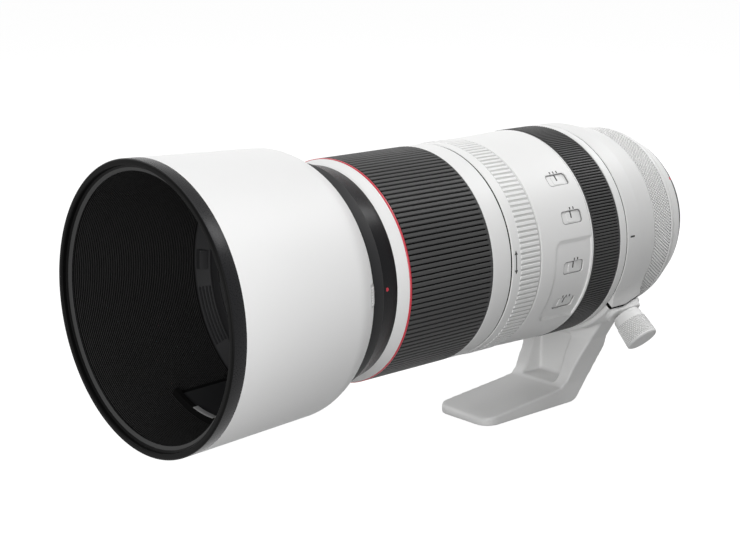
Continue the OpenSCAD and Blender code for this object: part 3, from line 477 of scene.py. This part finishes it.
def make_hood():
    shell = turned("hood_shell_white", [
        (54.64, -265.1, 0.1), (52.3, -210.8, 1.2), (51.65, -208.1, 1.2), (49.85, -204.2, 1.4),
        (47.6, -201.1, 1.0), (45.35, -199.1, 0.35), (44.3, -199.1, 0.2), (46.4, -202.0), (48.6, -205.0),
        (50.2, -208.6), (50.8, -210.8), (53.15, -265.1)])
    notch = block("notch_tool", (42.0, -204.3, -4.3), (60, -190, 4.3))
    cut(shell, window_tool(), set_round(notch, BUTTON_ANGLE))
    dress(shell, hood_white, "hood", "white_paint", "hood_shell")

    rim = turned("hood_front_rim", [
        (54.64, -265.12, 0.05), (54.88, -270.6, 0.3), (54.3, -271.1, 0.2), (52.6, -271.1, 0.3),
        (52.35, -270.6, 0.2), (52.35, -269.25, 0.1), (51.5, -268.79), (50.2, -268.1, 0.15),
        (50.2, -267.55, 0.15), (51.9, -267.5), (51.9, -265.12)])
    dress(rim, satin_black, "hood", "black_rubber", "hood_rim")
    # The rim's front face and inner wall take painted shade.
    second_look(rim, painted_rim_shade, lambda radius, station: radius < 54.8 and station < -268.0)
    # The lip inside the rim takes a painted highlight.
    second_look(rim, painted_lip_highlight, lambda radius, station: radius < 51.1 and -268.6 < station < -267.9)

    grooves = []
    for i in range(69):
        front = -267.2 + 0.8 * i
        grooves += [(bore(front), front), (bore(front), front + 0.25), (bore(front) + 0.35, front + 0.4),
                    (bore(front) + 0.35, front + 0.7)]
    liner = turned("hood_grooved_liner", [(51.8, -267.4), (bore(-267.4), -267.4)] + grooves + [
        (bore(-211.7), -211.7), (cone(-211.7) - 1.52, -211.7), (cone(-265.0) - 1.52, -265.0),
        (51.8, -265.0)], 192)
    cut(liner, window_tool())
    # The liner's grooves keep a far darker black than its lands: painted shade in the grooves.
    dress(liner, frame_black_and_groove_shade, "hood", "black_plastic", "hood_liner")
    second_look(liner, liner_black, lambda radius, station: radius < bore(station) + 0.04)

    bayonet = turned("hood_bayonet_ring", [
        (cone(-211.7) - 1.54, -211.7), (50.76, -210.8), (50.16, -208.6), (48.56, -205.0), (46.36, -202.0),
        (44.26, -199.12), (43.35, -199.12, 0.3), (43.35, -201.1, 0.2), (44.65, -201.3), (44.65, -205.3),
        (43.35, -205.5, 0.2), (43.35, -207.7, 0.3), (48.0, -211.7, 0.3)])
    entries = [swept("entry_tool", [(41, -201.4), (44.65, -201.4), (44.65, -196), (41, -196)], low, low + 31)
               for low in (17, 137, 257)]
    notch = block("notch_tool", (44.95, -204.3, -4.3), (60, -190, 4.3))
    cut(bayonet, *entries, set_round(notch, BUTTON_ANGLE))
    ribs = []
    for station, radius in ((-211.1, 47.3), (-210.2, 46.3), (-209.3, 45.2), (-208.4, 44.2)):
        front, back = station - 0.2, station + 0.25
        root, top = radius + 0.5, radius - 0.55
        ribs.append(swept("bayonet_rib", [(root, front), (top, front, 0.1), (top, back, 0.1), (root, back)],
                          -168, -138))
    ribs.append(swept("bayonet_stop", [
        (48.2, -211.4), (45.4, -211.4, 0.3), (43.6, -208.4, 0.3), (45.6, -208.4)], 173, 183, steps=8))
    joined(bayonet, *ribs)
    dress(bayonet, matte_black, "hood", "black_plastic", "hood_bayonet")

    # A light grey strip along the front edge of the hood's window.
    strip = swept("window_stop_strip", [
        (cone(-241.1) - 6.65, -241.15), (cone(-241.1) - 7.05, -241.15, 0.1),
        (cone(-239.2) - 7.05, -238.9, 0.1), (cone(-239.2) - 6.65, -238.9)], -103, -88, 12)
    dress(strip, light_grey_strip, "hood", "black_plastic")

    button = swept("hood_release_button", [
        (50.0, -204.15, 0.15), (47.75, -201.1, 0.5), (46.6, -200.0, 0.15), (46.45, -200.3), (46.45, -204.15)],
        BUTTON_ANGLE - 4.8, BUTTON_ANGLE + 4.8, 16)
    ground = ground_faces(button, lambda spot: True)
    teeth = []
    for i in range(7):
        middle = BUTTON_ANGLE + 1.15 * (i - 3)
        tooth = swept("button_tooth", [
            (49.2, -203.7), (50.0, -203.7, 0.1), (47.95, -201.1, 0.2), (46.75, -200.15, 0.1),
            (46.5, -200.4)], middle - 0.3, middle + 0.3, 3)
        teeth.append(tooth)
    joined(button, *teeth)
    dress(button, hood_white, "hood_button", "white_paint", "hood_button")
    # Painted shade on the button's ground between its teeth.
    shade_ground(button, painted_ground_shade, ground)

    door = swept("hood_window_door", [
        (cone(-239.8) - 4.7, -239.8, 0.1), (cone(-215.8) - 4.7, -215.8, 0.1),
        (cone(-215.8) - 5.7, -215.8, 0.1), (cone(-239.8) - 5.7, -239.8, 0.1)], -116, -64)
    ridges = [swept("door_ridge", [(cone(-236) - 5.0, -236), (cone(-236) - 4.5, -235.5, 0.15),
                                   (cone(-221) - 4.5, -220.5, 0.15), (cone(-221) - 5.0, -220)],
                    low, low + 1.1, 3) for low in range(-98, -82, 3)]
    joined(door, *ridges)
    dress(door, matte_black, "hood_window", "black_plastic", "window_door")


# Front of the lens
def make_front():
    thread = []
    for i in range(5):
        thread += [(38.5, -207.2 + 0.78 * i), (38.84, -206.81 + 0.78 * i)]
    ring = turned("front_ring_black", [(38.5, -207.6, 0.12)] + thread + [
        (38.5, -203.25), (38.85, -203.2), (38.85, -187.7), (39.25, -187.7), (39.25, -184.72),
        (42.8, -184.72, 0.1), (44.55, -193.5, 0.25), (45.2, -193.8, 0.15), (45.2, -198.8, 0.3),
        (43.0, -198.8), (43.0, -207.0, 0.15), (42.4, -207.6, 0.15)])
    lugs = [swept("bayonet_lug", [(42.6, -204.5), (43.9, -204.5, 0.15), (43.9, -201.9, 0.15), (42.6, -201.9)],
                  low, low + 25, 20) for low in (60, 180, 300)]
    joined(ring, *lugs)
    dress(ring, matte_black, "front_barrel", "black_plastic", "front_ring")
    second_look(ring, gloss_black, lambda radius, station: radius > 42.3 and -193.75 < station < -184.5)

    index_dot("hood_index_dot", BUTTON_ANGLE, -191.2, 43.4, 44.2, 0.75, "front_barrel", "hood_index")
    name_ring = turned("name_ring_white", [
        (39.27, -184.68), (42.85, -184.68, 0.2), (44.62, -180.0, 0.1), (39.27, -180.0)])
    dress(name_ring, white_paint, "front_barrel", "white_paint", "name_ring")
    red = turned("red_ring_band", [
        (39.27, -179.98), (44.65, -179.98, 0.05), (44.92, -179.75, 0.1), (44.92, -179.2, 0.1),
        (39.27, -179.2)])
    dress(red, red_lacquer, "front_barrel", "red_paint", "red_ring")

    retainer = turned("front_glass_retainer", [
        (38.84, -202.8, 0.1), (38.84, -201.2), (35.42, -201.2), (35.42, -198.92), (34.42, -199.1),
        (34.42, -201.4, 0.1), (35.2, -201.7), (35.2, -202.0), (36.0, -202.1), (36.0, -202.4),
        (37.0, -202.45), (37.0, -202.8, 0.1)])
    dress(retainer, matte_black, "front_barrel", "black_plastic", "front_retainer")

    edge, front_curve, back_curve = 35.4, 169.92, 318.6
    radii = [edge * i / 12 for i in range(13)]
    outline = [(radius, -202.6 + front_curve - math.sqrt(front_curve ** 2 - radius ** 2)) for radius in radii]
    outline += [(radius, -193.6 - back_curve + math.sqrt(back_curve ** 2 - radius ** 2))
                for radius in reversed(radii)]
    glass = turned("front_glass_coated", outline, 128)
    dress(glass, front_coating, "front_barrel", "glass", "front_glass")


# Zoom ring and tension ring
def make_zoom():
    sleeve = turned("zoom_ring_white", [
        (42.7, -177.7), (43.68, -177.7), (43.68, -134.85), (44.62, -134.85, 0.12), (44.82, -134.5, 0.15),
        (44.84, -124.8, 0.1), (44.6, -124.52, 0.1), (42.7, -124.52)])
    dress(sleeve, white_paint, "zoom_ring", "white_paint", "zoom_ring")

    grip = turned("zoom_grip_rubber", [
        (43.7, -178.85), (44.0, -178.85, 0.1), (44.0, -135.6), (44.78, -135.4, 0.1), (44.78, -134.9, 0.1),
        (43.7, -134.9)])
    rib = block("zoom_rib", (43.85, -178.8, -0.74), (44.92, -135.2, 0.74), edge=0.2)
    joined(grip, ring_of(rib, 132))
    dress(grip, grip_rubber, "zoom_ring", "black_rubber", "zoom_grip")
    # The ground between the zoom grip's ribs takes painted shade.
    second_look(grip, painted_groove_shade, lambda radius, station: radius < 44.2 and -178.7 < station < -135.3)

    tension = turned("tension_ring_white", [
        (42.7, -123.78), (44.62, -123.78, 0.1), (44.92, -123.5, 0.1), (45.0, -119.0), (45.0, -107.9),
        (45.0, -107.2, 0.1), (44.85, -106.92), (42.7, -106.92)])
    ground = ground_faces(tension, lambda spot: -119.0 < spot.y < -107.5
                          and math.hypot(spot.x, spot.z) > 44.9)
    ridge = block("tension_ridge", (44.7, -119.1, -0.68), (45.26, -107.8, 0.68), edge=0.16)
    joined(tension, ring_of(ridge, 130))
    dress(tension, white_paint, "tension_ring", "white_paint", "tension_ring")
    # Painted shade on the ground between the tension ring's ridges.
    shade_ground(tension, painted_ground_shade, ground)
    # A near-black ring in the seam between the zoom ring and the tension ring: painted shadow in the gap.
    seam = turned("zoom_seam_shadow", [(42.4, -124.48), (44.55, -124.48), (44.55, -123.82), (42.4, -123.82)])
    dress(seam, painted_seam_shadow, "barrel", "black_plastic")
    printed("tension_arrow_line", 44.96, -122.0, -121.45, -1.2, 7.6, "tension_ring")
    for tip, tail in ((9.4, 7.2), (-3.0, -0.8)):
        head = slab("tension_arrow_head", [(tip, -121.72), (tail, -122.6), (tail, -120.85)],
                    lambda angle, station: round_axis(angle, 44.9, station), (0, 0, 0), (0.1, 0, 0))
        dress(head, black_ink, "tension_ring", "black_plastic")


# Main barrel with its switches
UPPER_PLATE, LOWER_PLATE = 44.9, 44.05
# Each switch has its angle, the height of its sliding plate and the top of its dark grey outline, painted
# shadow of the gap round the window.
SWITCHES = (("range", 41.8, UPPER_PLATE, 45.24), ("focus", 20.6, UPPER_PLATE, 45.24),
            ("steady", -6.4, LOWER_PLATE, 44.34), ("mode", -28.2, LOWER_PLATE, 44.34))


def rounded_block(name, low, high, corner):
    """A box with the four edges that point away from the axis rounded."""
    return round_edges(block(name, low, high), 0, corner, 5)


def recess_tool(floor, grow):
    """One level of the soft step down to the lower switch panel.

    The levels end a few microns apart, because cuts that end in one plane fail in some runs.
    """
    front_fall, back_rise = 0.332, 0.539
    back = -76.4 - 0.004 * grow
    tool = swept("recess_tool", [
        (floor - front_fall, -110), (50, -110), (50, back), (floor + back_rise, back)], -60, 32, 90)
    front, half, corner = -97.2 - grow, 17.2 + grow, 3.2 + grow
    outline = slab("recess_outline", [
        (front, -half, corner), (front, half, corner), (-70, half), (-70, -half)],
        side_view, (36, 0, 0), (18, 0, 0))
    return shaped(tool, set_round(outline, PANEL_ANGLE), "INTERSECT")


def make_barrel():
    barrel = turned("main_barrel_white", [
        (41.25, -178.7), (43.35, -178.7), (43.35, -178.0), (42.35, -178.0), (42.35, -106.6),
        (44.75, -106.6, 0.1), (45.0, -106.3, 0.15), (45.77, -76.32), (45.5, -76.22), (45.5, -75.98),
        (45.78, -75.88), (45.8, -75.45, 0.1), (45.55, -75.16, 0.1), (43.1, -75.16), (43.1, -57.55),
        (37.6, -57.55), (37.6, -61.5), (41.25, -61.5)])
    for floor, grow in ((45.02, 1.5), (44.83, 1.0), (44.64, 0.5), (44.45, 0.0)):
        cut(barrel, recess_tool(floor, grow))
    for name, angle, plate, outline_shadow_top in SWITCHES:
        well = block("well_tool", (42.9, -96.6, -3.1), (plate + 0.06, -76.0, 3.1))
        mouth = rounded_block("mouth_tool", (43.5, -92.3, -2.8), (50, -80.3, 2.8), 1.5)
        cut(barrel, set_round(well, angle), set_round(mouth, angle))
    dress(barrel, white_paint, "barrel", "white_paint", "main_barrel", "switch_panel")
    # The floor of the groove in front of the focus grip takes painted shade.
    second_look(barrel, painted_outline_shadow,
                lambda radius, station: 45.4 < radius < 45.56 and -76.2 < station < -76.0)

    fillet = swept("switch_panel_fillet", [
        (45.185, -98.8), (44.46, -96.75), (44.2, -96.75), (44.2, -98.8)], -40, 9)
    dress(fillet, white_paint, "barrel", "white_paint")

    for name, angle, plate, outline_shadow_top in SWITCHES:
        slide = block(f"switch_{name}_slide", (43.05, -94.4, -2.9), (plate, -78.2, 2.9), edge=0.1)
        pad = rounded_block("thumb_pad", (plate - 0.3, -89.0, -2.1), (plate + 0.18, -83.6, 2.1), 0.9)
        edit_all(pad)
        pick_edges(pad, lambda edge: min(point.co.x for point in edge.verts) > (plate + 0.1) * MM)
        bpy.ops.mesh.bevel(offset=0.16 * MM, segments=2, affect="EDGES")
        close_up(pad)
        joined(slide, pad)
        dress(set_round(slide, angle), white_paint, f"{name}_switch", "white_paint", f"switch_{name}")
        line = block(f"switch_{name}_line", (plate - 0.1, -86.65, -0.4), (plate + 0.22, -85.95, 2.35),
                     edge=0.03)
        dress(set_round(line, angle), black_ink, f"{name}_switch", "black_plastic")
        # A dark grey outline round each switch window, whose colour is painted shadow of the gap round the
        # slide.
        outline_shadow = rounded_block(f"switch_{name}_edging", (plate + 0.02, -92.28, -2.78),
                               (outline_shadow_top, -80.32, 2.78), 1.5)
        cut(outline_shadow, rounded_block("outline_shadow_tool", (40, -91.95, -2.45), (50, -80.65, 2.45), 1.2))
        dress(set_round(outline_shadow, angle), painted_outline_shadow, "barrel", "black_plastic")
        stops = (-2.0, 0.0, 2.0) if name in ("range", "mode") else (0.0, 2.0)
        for number, along in enumerate(stops):
            if plate == UPPER_PLATE:
                surface = 45.0 + (20.0 + along) * BARREL_FLARE
            else:
                surface = 44.45 + (10.9 + along) * BARREL_FLARE
            printed(f"switch_{name}_tick_{number}", surface + 0.01, -86.6 + along, -86.0 + along,
                    angle + 3.85, angle + 5.2, "barrel")


# Focus grip and rear barrel
def make_rear():
    grip = turned("focus_grip_rubber", [
        (44.46, -74.82), (45.7, -74.82, 0.1), (45.7, -74.35, 0.1), (45.25, -74.2), (45.25, -58.5),
        (45.7, -58.35, 0.1), (45.7, -57.88, 0.1), (44.46, -57.88)])
    rib = block("focus_rib", (45.1, -74.45, -0.4), (45.95, -58.25, 0.4), edge=0.13)
    joined(grip, ring_of(rib, 216))
    dress(grip, grip_rubber, "focus_ring", "black_rubber", "focus_grip")
    # The ground between the focus grip's ribs takes painted shade.
    second_look(grip, painted_groove_shade, lambda radius, station: radius < 45.35 and -74.4 < station < -58.3)

    rear = turned("rear_barrel_white", [
        (45.6, -57.55, 0.1), (45.8, -57.25, 0.15), (45.8, -53.7, 0.1), (45.55, -53.45, 0.1),
        (41.3, -53.45), (41.3, -30.8), (37.0, -30.8), (37.0, -14.7), (30.0, -14.7), (30.0, -24.0),
        (26.0, -24.0), (26.0, -27.0), (35.0, -27.0), (35.0, -57.55)])
    dress(rear, white_paint, "barrel", "white_paint", "rear_barrel")


# Collar ring with its gaps
def make_collar():
    collar = turned("collar_ring_white", [
        (41.75, COLLAR_FRONT), (45.5, COLLAR_FRONT, 0.1), (45.85, -52.6, 0.2), (45.9, -44.0, 0.3),
        (43.05, -31.2, 0.2), (42.7, -31.0, 0.1), (41.75, -31.0)])
    seat = swept("seat_tool", [(43.1, -60), (60, -60), (60, -20), (43.1, -20)], -142.7, -37.3, 96)
    cut(collar, seat)
    straight, tapered, narrowing = 8.9, 12.7, 0.94
    lug = draw_outline("collar_lug", [
        (-25, 45.5), (-29, 45.95), (-32, 46.5), (-34.4, 47.3), (-36, 48.1), (-37.3, 48.5), (-37.3, 43.6),
        (-25, 43.6)], lambda angle, radius: round_axis(angle, radius, -52.9))
    bpy.ops.mesh.edge_face_add()
    bpy.ops.mesh.select_all(action="SELECT")
    bpy.ops.mesh.extrude_region_move(TRANSFORM_OT_translate={"value": (0, straight * MM, 0)})
    bpy.ops.mesh.extrude_region_move(TRANSFORM_OT_translate={"value": (0, tapered * MM, 0)})
    bpy.ops.transform.resize(value=(narrowing, 1, narrowing), center_override=(0, 0, 0))
    joined(collar, close_up(lug))
    dress(collar, casting_white, "collar", "painted_alloy", "collar_ring")
    # Near-black inserts in the collar's two split gaps, each with a lip across the gap's front: painted
    # shadow in the gaps.
    for name, low, high, outer, rise in (("gap_shadow_right", -39.1, -37.35, -38.85, 2.4),
                                         ("gap_shadow_left", -142.65, -140.9, -141.15, 0.0)):
        gap_shadow = swept(name, [
            (42.3, -52.9), (45.96 + rise, -52.9), (45.96 + rise, -44.0), (43.15 + rise, -31.3),
            (42.3, -31.3)], low, high, 4)
        lip = swept("gap_shadow_lip", [(43.0, -53.02), (47.6, -53.02), (47.6, -52.7), (43.0, -52.7)],
                    outer - 0.3, outer + 0.3, 2)
        joined(gap_shadow, lip)
        dress(gap_shadow, painted_seam_shadow, "collar", "black_plastic")
    # A near-black ring in the seam in front of the collar: painted shadow in the gap.
    seam = turned("collar_seam_shadow", [(41.0, -53.42), (45.5, -53.42), (45.5, -52.98), (41.0, -52.98)])
    dress(seam, painted_seam_shadow, "barrel", "black_plastic")
    printed("collar_index_line", 45.89, -51.2, -48.4, 3.2, 4.2, "collar")


# Control ring and tail
def make_control():
    control = turned("control_ring_white", [
        (37.4, -30.5), (42.3, -30.5, 0.1), (42.6, -30.2, 0.1), (42.55, -29.95, 0.05), (42.12, -29.8),
        (40.82, -16.6), (41.2, -16.45, 0.05), (41.15, -15.3, 0.15), (40.9, -15.0, 0.1), (37.4, -15.0)])
    ground = ground_faces(control, lambda spot: -29.75 < spot.y < -16.65
                          and math.hypot(spot.x, spot.z) > 40.5)
    rows = []
    for row in range(12):
        station = -29.1 + 1.05 * row
        radius = 42.12 - (station + 29.8) * 0.0985
        point = diamond("control_point", radius - 0.12, 0.5, station, 0.98, 0.64)
        rows.append(ring_of(point, 192, turn=0.9375 * (row % 2)))
    joined(control, *rows)
    dress(control, white_paint, "control_ring", "white_paint", "control_ring")
    # Painted shade on the ground between the control ring's knurl points.
    shade_ground(control, painted_knurl_shade, ground)

    tail = turned("tail_ring_white", [
        (30.0, -14.7), (40.6, -14.7, 0.1), (40.9, -14.35, 0.15), (36.66, -5.4), (36.0, -4.0, 0.5),
        (34.4, -2.62, 0.15), (30.0, -2.62)])
    dress(tail, white_paint, "barrel", "white_paint", "tail_ring")
    second_look(tail, edge_black, lambda radius, station: station > -5.35)


# Mount
def make_mount():
    plate = turned("mount_plate_steel", [
        (22.8, -2.6), (33.0, -2.6), (33.4, -2.2, 0.1), (33.4, -0.3, 0.12), (33.1, 0.0, 0.08), (25.6, 0.0),
        (25.6, 5.2, 0.2), (22.8, 5.2, 0.2)])
    tabs = [swept("mount_tab", [(25.4, 2.8), (26.9, 2.8, 0.2), (26.9, 4.7, 0.2), (25.4, 4.7)],
                  low, low + 50, 24) for low in (80, 205, 320)]
    for angle in (45, 135, 225, 315):
        sink = block("sink_tool", (27.7, -1.5, -2.3), (32.3, 3.0, 2.3))
        round_edges(sink, 1, 2.29, 8)
        cut(plate, set_round(sink, angle))
    joined(plate, *tabs)
    dress(plate, mount_steel, "barrel", "steel", "mount_plate")
    second_look(plate, edge_black, lambda radius, station: radius > 33.0)
    index_dot("mount_index_dot", 34.0, -6.2, 35.6, 37.2, 0.7, "barrel", "mount_index")


# Tripod foot
def arm_tool():
    """What the foot keeps: a flared arm with a leaning front, over the plan of the base."""
    arm = slab("arm_tool", [
        (-15.65, -76.6), (15.65, -76.6), (15.65, -70.0), (16.9, -60.0), (19.4, -50.0), (24.3, -42.0),
        (26.7, -30.0), (-26.7, -30.0), (-24.3, -42.0), (-19.4, -50.0), (-16.9, -60.0), (-15.65, -70.0)],
        end_view, (0, -20, 0), (0, -25, 0))
    edit_all(arm)
    bpy.ops.mesh.select_all(action="DESELECT")
    bpy.ops.mesh.select_mode(type="FACE")
    arm_front = -0.044
    form = bmesh.from_edit_mesh(arm.data)
    for face in form.faces:
        face.select_set(face.calc_center_median().y < arm_front)
    bmesh.update_edit_mesh(arm.data)
    bpy.ops.mesh.extrude_region_move(TRANSFORM_OT_translate={"value": (0, -4.6 * MM, 0)})
    bpy.ops.transform.resize(value=(0.2, 1, 1), center_override=(0, 0, 0))
    for height, lean in ((-76.6, -13.0), (-70.0, -11.5), (-60.0, -4.2), (-50.0, 1.6), (-42.0, 2.6),
                         (-30.0, 2.6)):
        pick_points(arm, [point.co.copy() for point in bmesh.from_edit_mesh(arm.data).verts
                          if point.co.y < arm_front and abs(point.co.z - height * MM) < 1e-5])
        bpy.ops.transform.translate(value=(0, lean * MM, 0))
    close_up(arm)
    plan = slab("plan_tool", [
        (-15.7, -40.0), (-15.7, -105.8, 6.5), (15.7, -105.8, 6.5), (15.7, -40.0)],
        plan_view, (0, 0, -79.6), (0, 0, 9.0))
    return shaped(arm, plan, "UNION")


def make_foot():
    foot = slab("tripod_foot_casting", [
        (-106.8, -78.6), (-49.6, -78.6, 1.2), (-46.9, -77.3, 1.2), (-44.6, -74.4, 2.0),
        (-40.2, -69.2, 2.0), (-33.6, -59.2, 2.0), (-31.8, -55.0), (-31.8, -30.0), (-46.5, -30.0),
        (-46.5, -49.0, 2.0), (-49.8, -57.0, 2.0), (-51.8, -63.0, 2.0), (-53.4, -67.0, 1.5),
        (-57.0, -70.4, 2.0), (-62.5, -71.2, 2.0), (-101.8, -74.5, 1.0), (-104.8, -75.2, 1.0),
        (-106.8, -77.6)], side_view, (-40, 0, 0), (80, 0, 0))
    pocket = slab("pocket_tool", [(-66, -69.6), (-43.9, -69.6, 1.5), (-43.9, -48.6), (-66, -48.6)], side_view,
                  (-9.6, 0, 0), (19.2, 0, 0))
    hole = block("thread_tool", (-3.175, -80.175, -90), (3.175, -73.825, -74.1))
    round_edges(hole, 2, 2.9, 8)
    for tool in (pocket, hole):
        shaped(foot, tool, "DIFFERENCE")
    shaped(foot, arm_tool(), "INTERSECT")
    saddle = swept("saddle_tool", [
        (41.1, COLLAR_FRONT), (47.3, COLLAR_FRONT), (47.7, -52.55), (47.7, -31.4), (47.3, -31.0),
        (41.1, -31.0)], -140.8, -39.2, 96)
    shaped(foot, saddle, "UNION")
    pad = slab("pad_tool", [(-9.4, -5.8, 5.7), (-9.4, 5.8, 5.7), (9.4, 5.8, 5.7), (9.4, -5.8, 5.7)],
               lambda along, across: side_view(along + KNOB_STATION, across), (40, 0, 0), (9.9, 0, 0))
    shaped(foot, set_round(pad, KNOB_ANGLE), "UNION")
    trim = swept("trim_tool", [(43.2, -54), (60, -54), (60, -28), (43.2, -28)], -39.2, -20, 12)
    opening = turned("bore_tool", [(43.1, -120.0), (43.1, 0.0), (20.0, 0.0), (20.0, -120.0)], 192)
    for tool in (trim, opening):
        shaped(foot, tool, "DIFFERENCE")
    blend = foot.modifiers.new("cast", "REMESH")
    blend.mode = "VOXEL"
    blend.voxel_size = 0.5 * MM
    bpy.ops.object.modifier_apply(modifier=blend.name)
    soften = foot.modifiers.new("soften", "SMOOTH")
    soften.factor = 0.5
    soften.iterations = 8
    bpy.ops.object.modifier_apply(modifier=soften.name)
    bpy.ops.object.shade_smooth_by_angle(angle=math.radians(60))
    dress(foot, casting_white, "collar", "painted_alloy", "tripod_foot")


# Locking knob
def make_knob():
    centre = Vector((0.0, KNOB_STATION * MM, 0.0))

    def beside_knob(radius, out):
        return centre + Vector((out * MM, 0.0, radius * MM))

    knob = draw_outline("clamp_knob_white", [
        (0.0, 45.0), (2.5, 45.0, 0.2), (2.5, 50.7), (5.9, 50.7, 0.2), (5.9, 51.7), (6.3, 51.7, 0.15),
        (6.5, 52.3, 0.2), (6.62, 55.0), (7.05, 63.5), (7.3, 63.8, 0.1), (7.3, 64.1, 0.2),
        (6.7, 64.7, 0.3), (0.0, 64.7)], beside_knob)
    bpy.ops.mesh.spin(steps=96, angle=2 * math.pi, center=centre, axis=(1, 0, 0), use_auto_merge=True)
    close_up(knob)
    ground = ground_faces(knob, lambda spot: 55.0 < spot.x < 63.5)
    rows = []
    for row in range(11):
        half_step = math.pi / KNOB_POINTS * (row % 2)
        clear_selection()
        bpy.ops.mesh.primitive_cone_add(vertices=4, radius1=0.62 * MM, radius2=0.16 * MM, depth=0.45 * MM,
                                        rotation=(half_step, 0, 0), location=(0, 0, 0))
        point = named("knob_point")
        bpy.ops.object.transform_apply(location=False, rotation=True, scale=False)
        edit_all(point)
        out = 55.5 + 0.76 * row
        place = beside_knob(6.68 + 0.0506 * (out - 55.0), out)
        bpy.ops.transform.translate(value=centre + Matrix.Rotation(half_step, 3, "X") @ (place - centre))
        bpy.ops.mesh.spin(steps=KNOB_POINTS - 1, dupli=True, center=centre, axis=(1, 0, 0),
                          angle=2 * math.pi * (KNOB_POINTS - 1) / KNOB_POINTS)
        close_up(point, smooth=10)
        rows.append(point)
    joined(knob, *rows)
    dress(set_round(knob, KNOB_ANGLE), white_paint, "clamp_knob", "painted_alloy", "clamp_knob")
    # Painted shade on the ground between the knob's knurl points.
    shade_ground(knob, painted_ground_shade, ground)


# Finishes of the solids that keep their shape
def dress_solids():
    looks = {
        "frame_black_and_groove_shade": ("window_frame",),
        "matte_black": ("front_cell", "zoom_cell", "steady_frame", "steady_cell", "iris_housing",
                        "focus_cell", "rear_cell", "contact_block", "focus_ring"),
        "satin_black": ("iris_blades", "steady_yoke", "focus_motor"),
        "white_paint": ("inner_tube",),
        "tube_alloy": ("cam_barrel", "guide_barrel", "brake_shoe"),
        "mount_steel": ("mount_screws", "focus_rods"),
        "pin_brass": ("tube_pins", "zoom_pins", "zoom_key"),
        "contact_gold": ("contact_pins",),
        "board_green": ("circuit_board",),
        "inner_coating": ("second_glass", "zoom_glass", "steady_glass", "focus_glass", "rear_glass"),
    }
    for look, names in looks.items():
        for name in names:
            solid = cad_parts[name]
            solid.data.materials.clear()
            # Looked up by name: the frame has a white_paint of its own, and the inner tube takes that one.
            solid.data.materials.append(bpy.data.materials[look])


# Floor, background and lamps
def background_rays(nodes, links):
    """One for rays that see the background: from the camera, off gloss and through glass."""
    rays = nodes.new("ShaderNodeLightPath")
    seen = rays.outputs["Is Camera Ray"]
    for name in ("Is Glossy Ray", "Is Transmission Ray"):
        either = nodes.new("ShaderNodeMath")
        either.operation = "MAXIMUM"
        links.new(seen, either.inputs[0])
        links.new(rays.outputs[name], either.inputs[1])
        seen = either.outputs[0]
    return seen


def split_rays(nodes, links, lighting, seen, out):
    """One shader lights the part, the other is what the camera, gloss and glass see."""
    choose = nodes.new("ShaderNodeMixShader")
    links.new(background_rays(nodes, links), choose.inputs[0])
    links.new(lighting.outputs[0], choose.inputs[1])
    links.new(seen.outputs[0], choose.inputs[2])
    links.new(choose.outputs[0], out.inputs["Surface"])


def make_floor():
    clear_selection()
    bpy.ops.mesh.primitive_plane_add(size=12, location=(0, 0, FLOOR_HEIGHT))
    floor = named("studio_floor")
    bpy.ops.object.transform_apply(location=True, rotation=False, scale=False)
    pale = bpy.data.materials.new("pale_floor")
    pale.use_nodes = True
    nodes, links = pale.node_tree.nodes, pale.node_tree.links
    nodes.clear()
    out = nodes.new("ShaderNodeOutputMaterial")
    paper = nodes.new("ShaderNodeBsdfDiffuse")
    paper.inputs["Color"].default_value = (0.15, 0.15, 0.15, 1)
    shadow = nodes.new("ShaderNodeBsdfDiffuse")
    shadow.inputs["Color"].default_value = (0.16, 0.16, 0.16, 1)
    glow = nodes.new("ShaderNodeEmission")
    glow.inputs["Color"].default_value = (1, 1, 1, 1)
    glow.inputs["Strength"].default_value = 0.96
    both = nodes.new("ShaderNodeAddShader")
    links.new(shadow.outputs[0], both.inputs[0])
    links.new(glow.outputs[0], both.inputs[1])
    split_rays(nodes, links, paper, both, out)
    floor.data.materials.append(pale)


def make_backdrop():
    world = bpy.data.worlds.new("studio")
    bpy.context.scene.world = world
    world.use_nodes = True
    nodes, links = world.node_tree.nodes, world.node_tree.links
    nodes.clear()
    out = nodes.new("ShaderNodeOutputWorld")
    soft = nodes.new("ShaderNodeBackground")
    soft.inputs["Color"].default_value = (1, 1, 1, 1)
    soft.inputs["Strength"].default_value = 0.12
    white = nodes.new("ShaderNodeBackground")
    white.inputs["Color"].default_value = (1, 1, 1, 1)
    white.inputs["Strength"].default_value = 1.0
    split_rays(nodes, links, soft, white, out)


def make_lamps():
    for name, spot, width, power in (
            ("ceiling_softbox", (0.1, -0.1, 1.5), 1.6, 9.8),
            ("rear_softbox", (0.40, 0.43, 0.81), 0.3, 2.3),
            ("edge_softbox", (0.06, 0.75, 0.60), 0.3, 2.6),
            ("front_softbox", (0.45, -0.95, 0.30), 0.4, 2.6),
            ("left_softbox", (-0.75, -0.25, 0.65), 0.5, 3.2),
            ("low_softbox", (0.28, -0.48, -0.04), 0.25, 1.0)):
        lamp = bpy.data.lights.new(name, "AREA")
        lamp.shape = "RECTANGLE"
        lamp.size = width
        lamp.size_y = width
        lamp.energy = power
        box = bpy.data.objects.new(name, lamp)
        bpy.context.scene.collection.objects.link(box)
        box.location = spot
        aim = Vector(LAMP_TARGET) - Vector(spot)
        box.rotation_euler = aim.to_track_quat("-Z", "Y").to_euler()


set_camera()
make_hood()
make_front()
make_zoom()
make_barrel()
make_rear()
make_collar()
make_control()
make_mount()
make_foot()
make_knob()
dress_solids()
make_floor()
make_backdrop()
make_lamps()
clear_selection()
bpy.context.scene.view_settings.view_transform = "Standard"
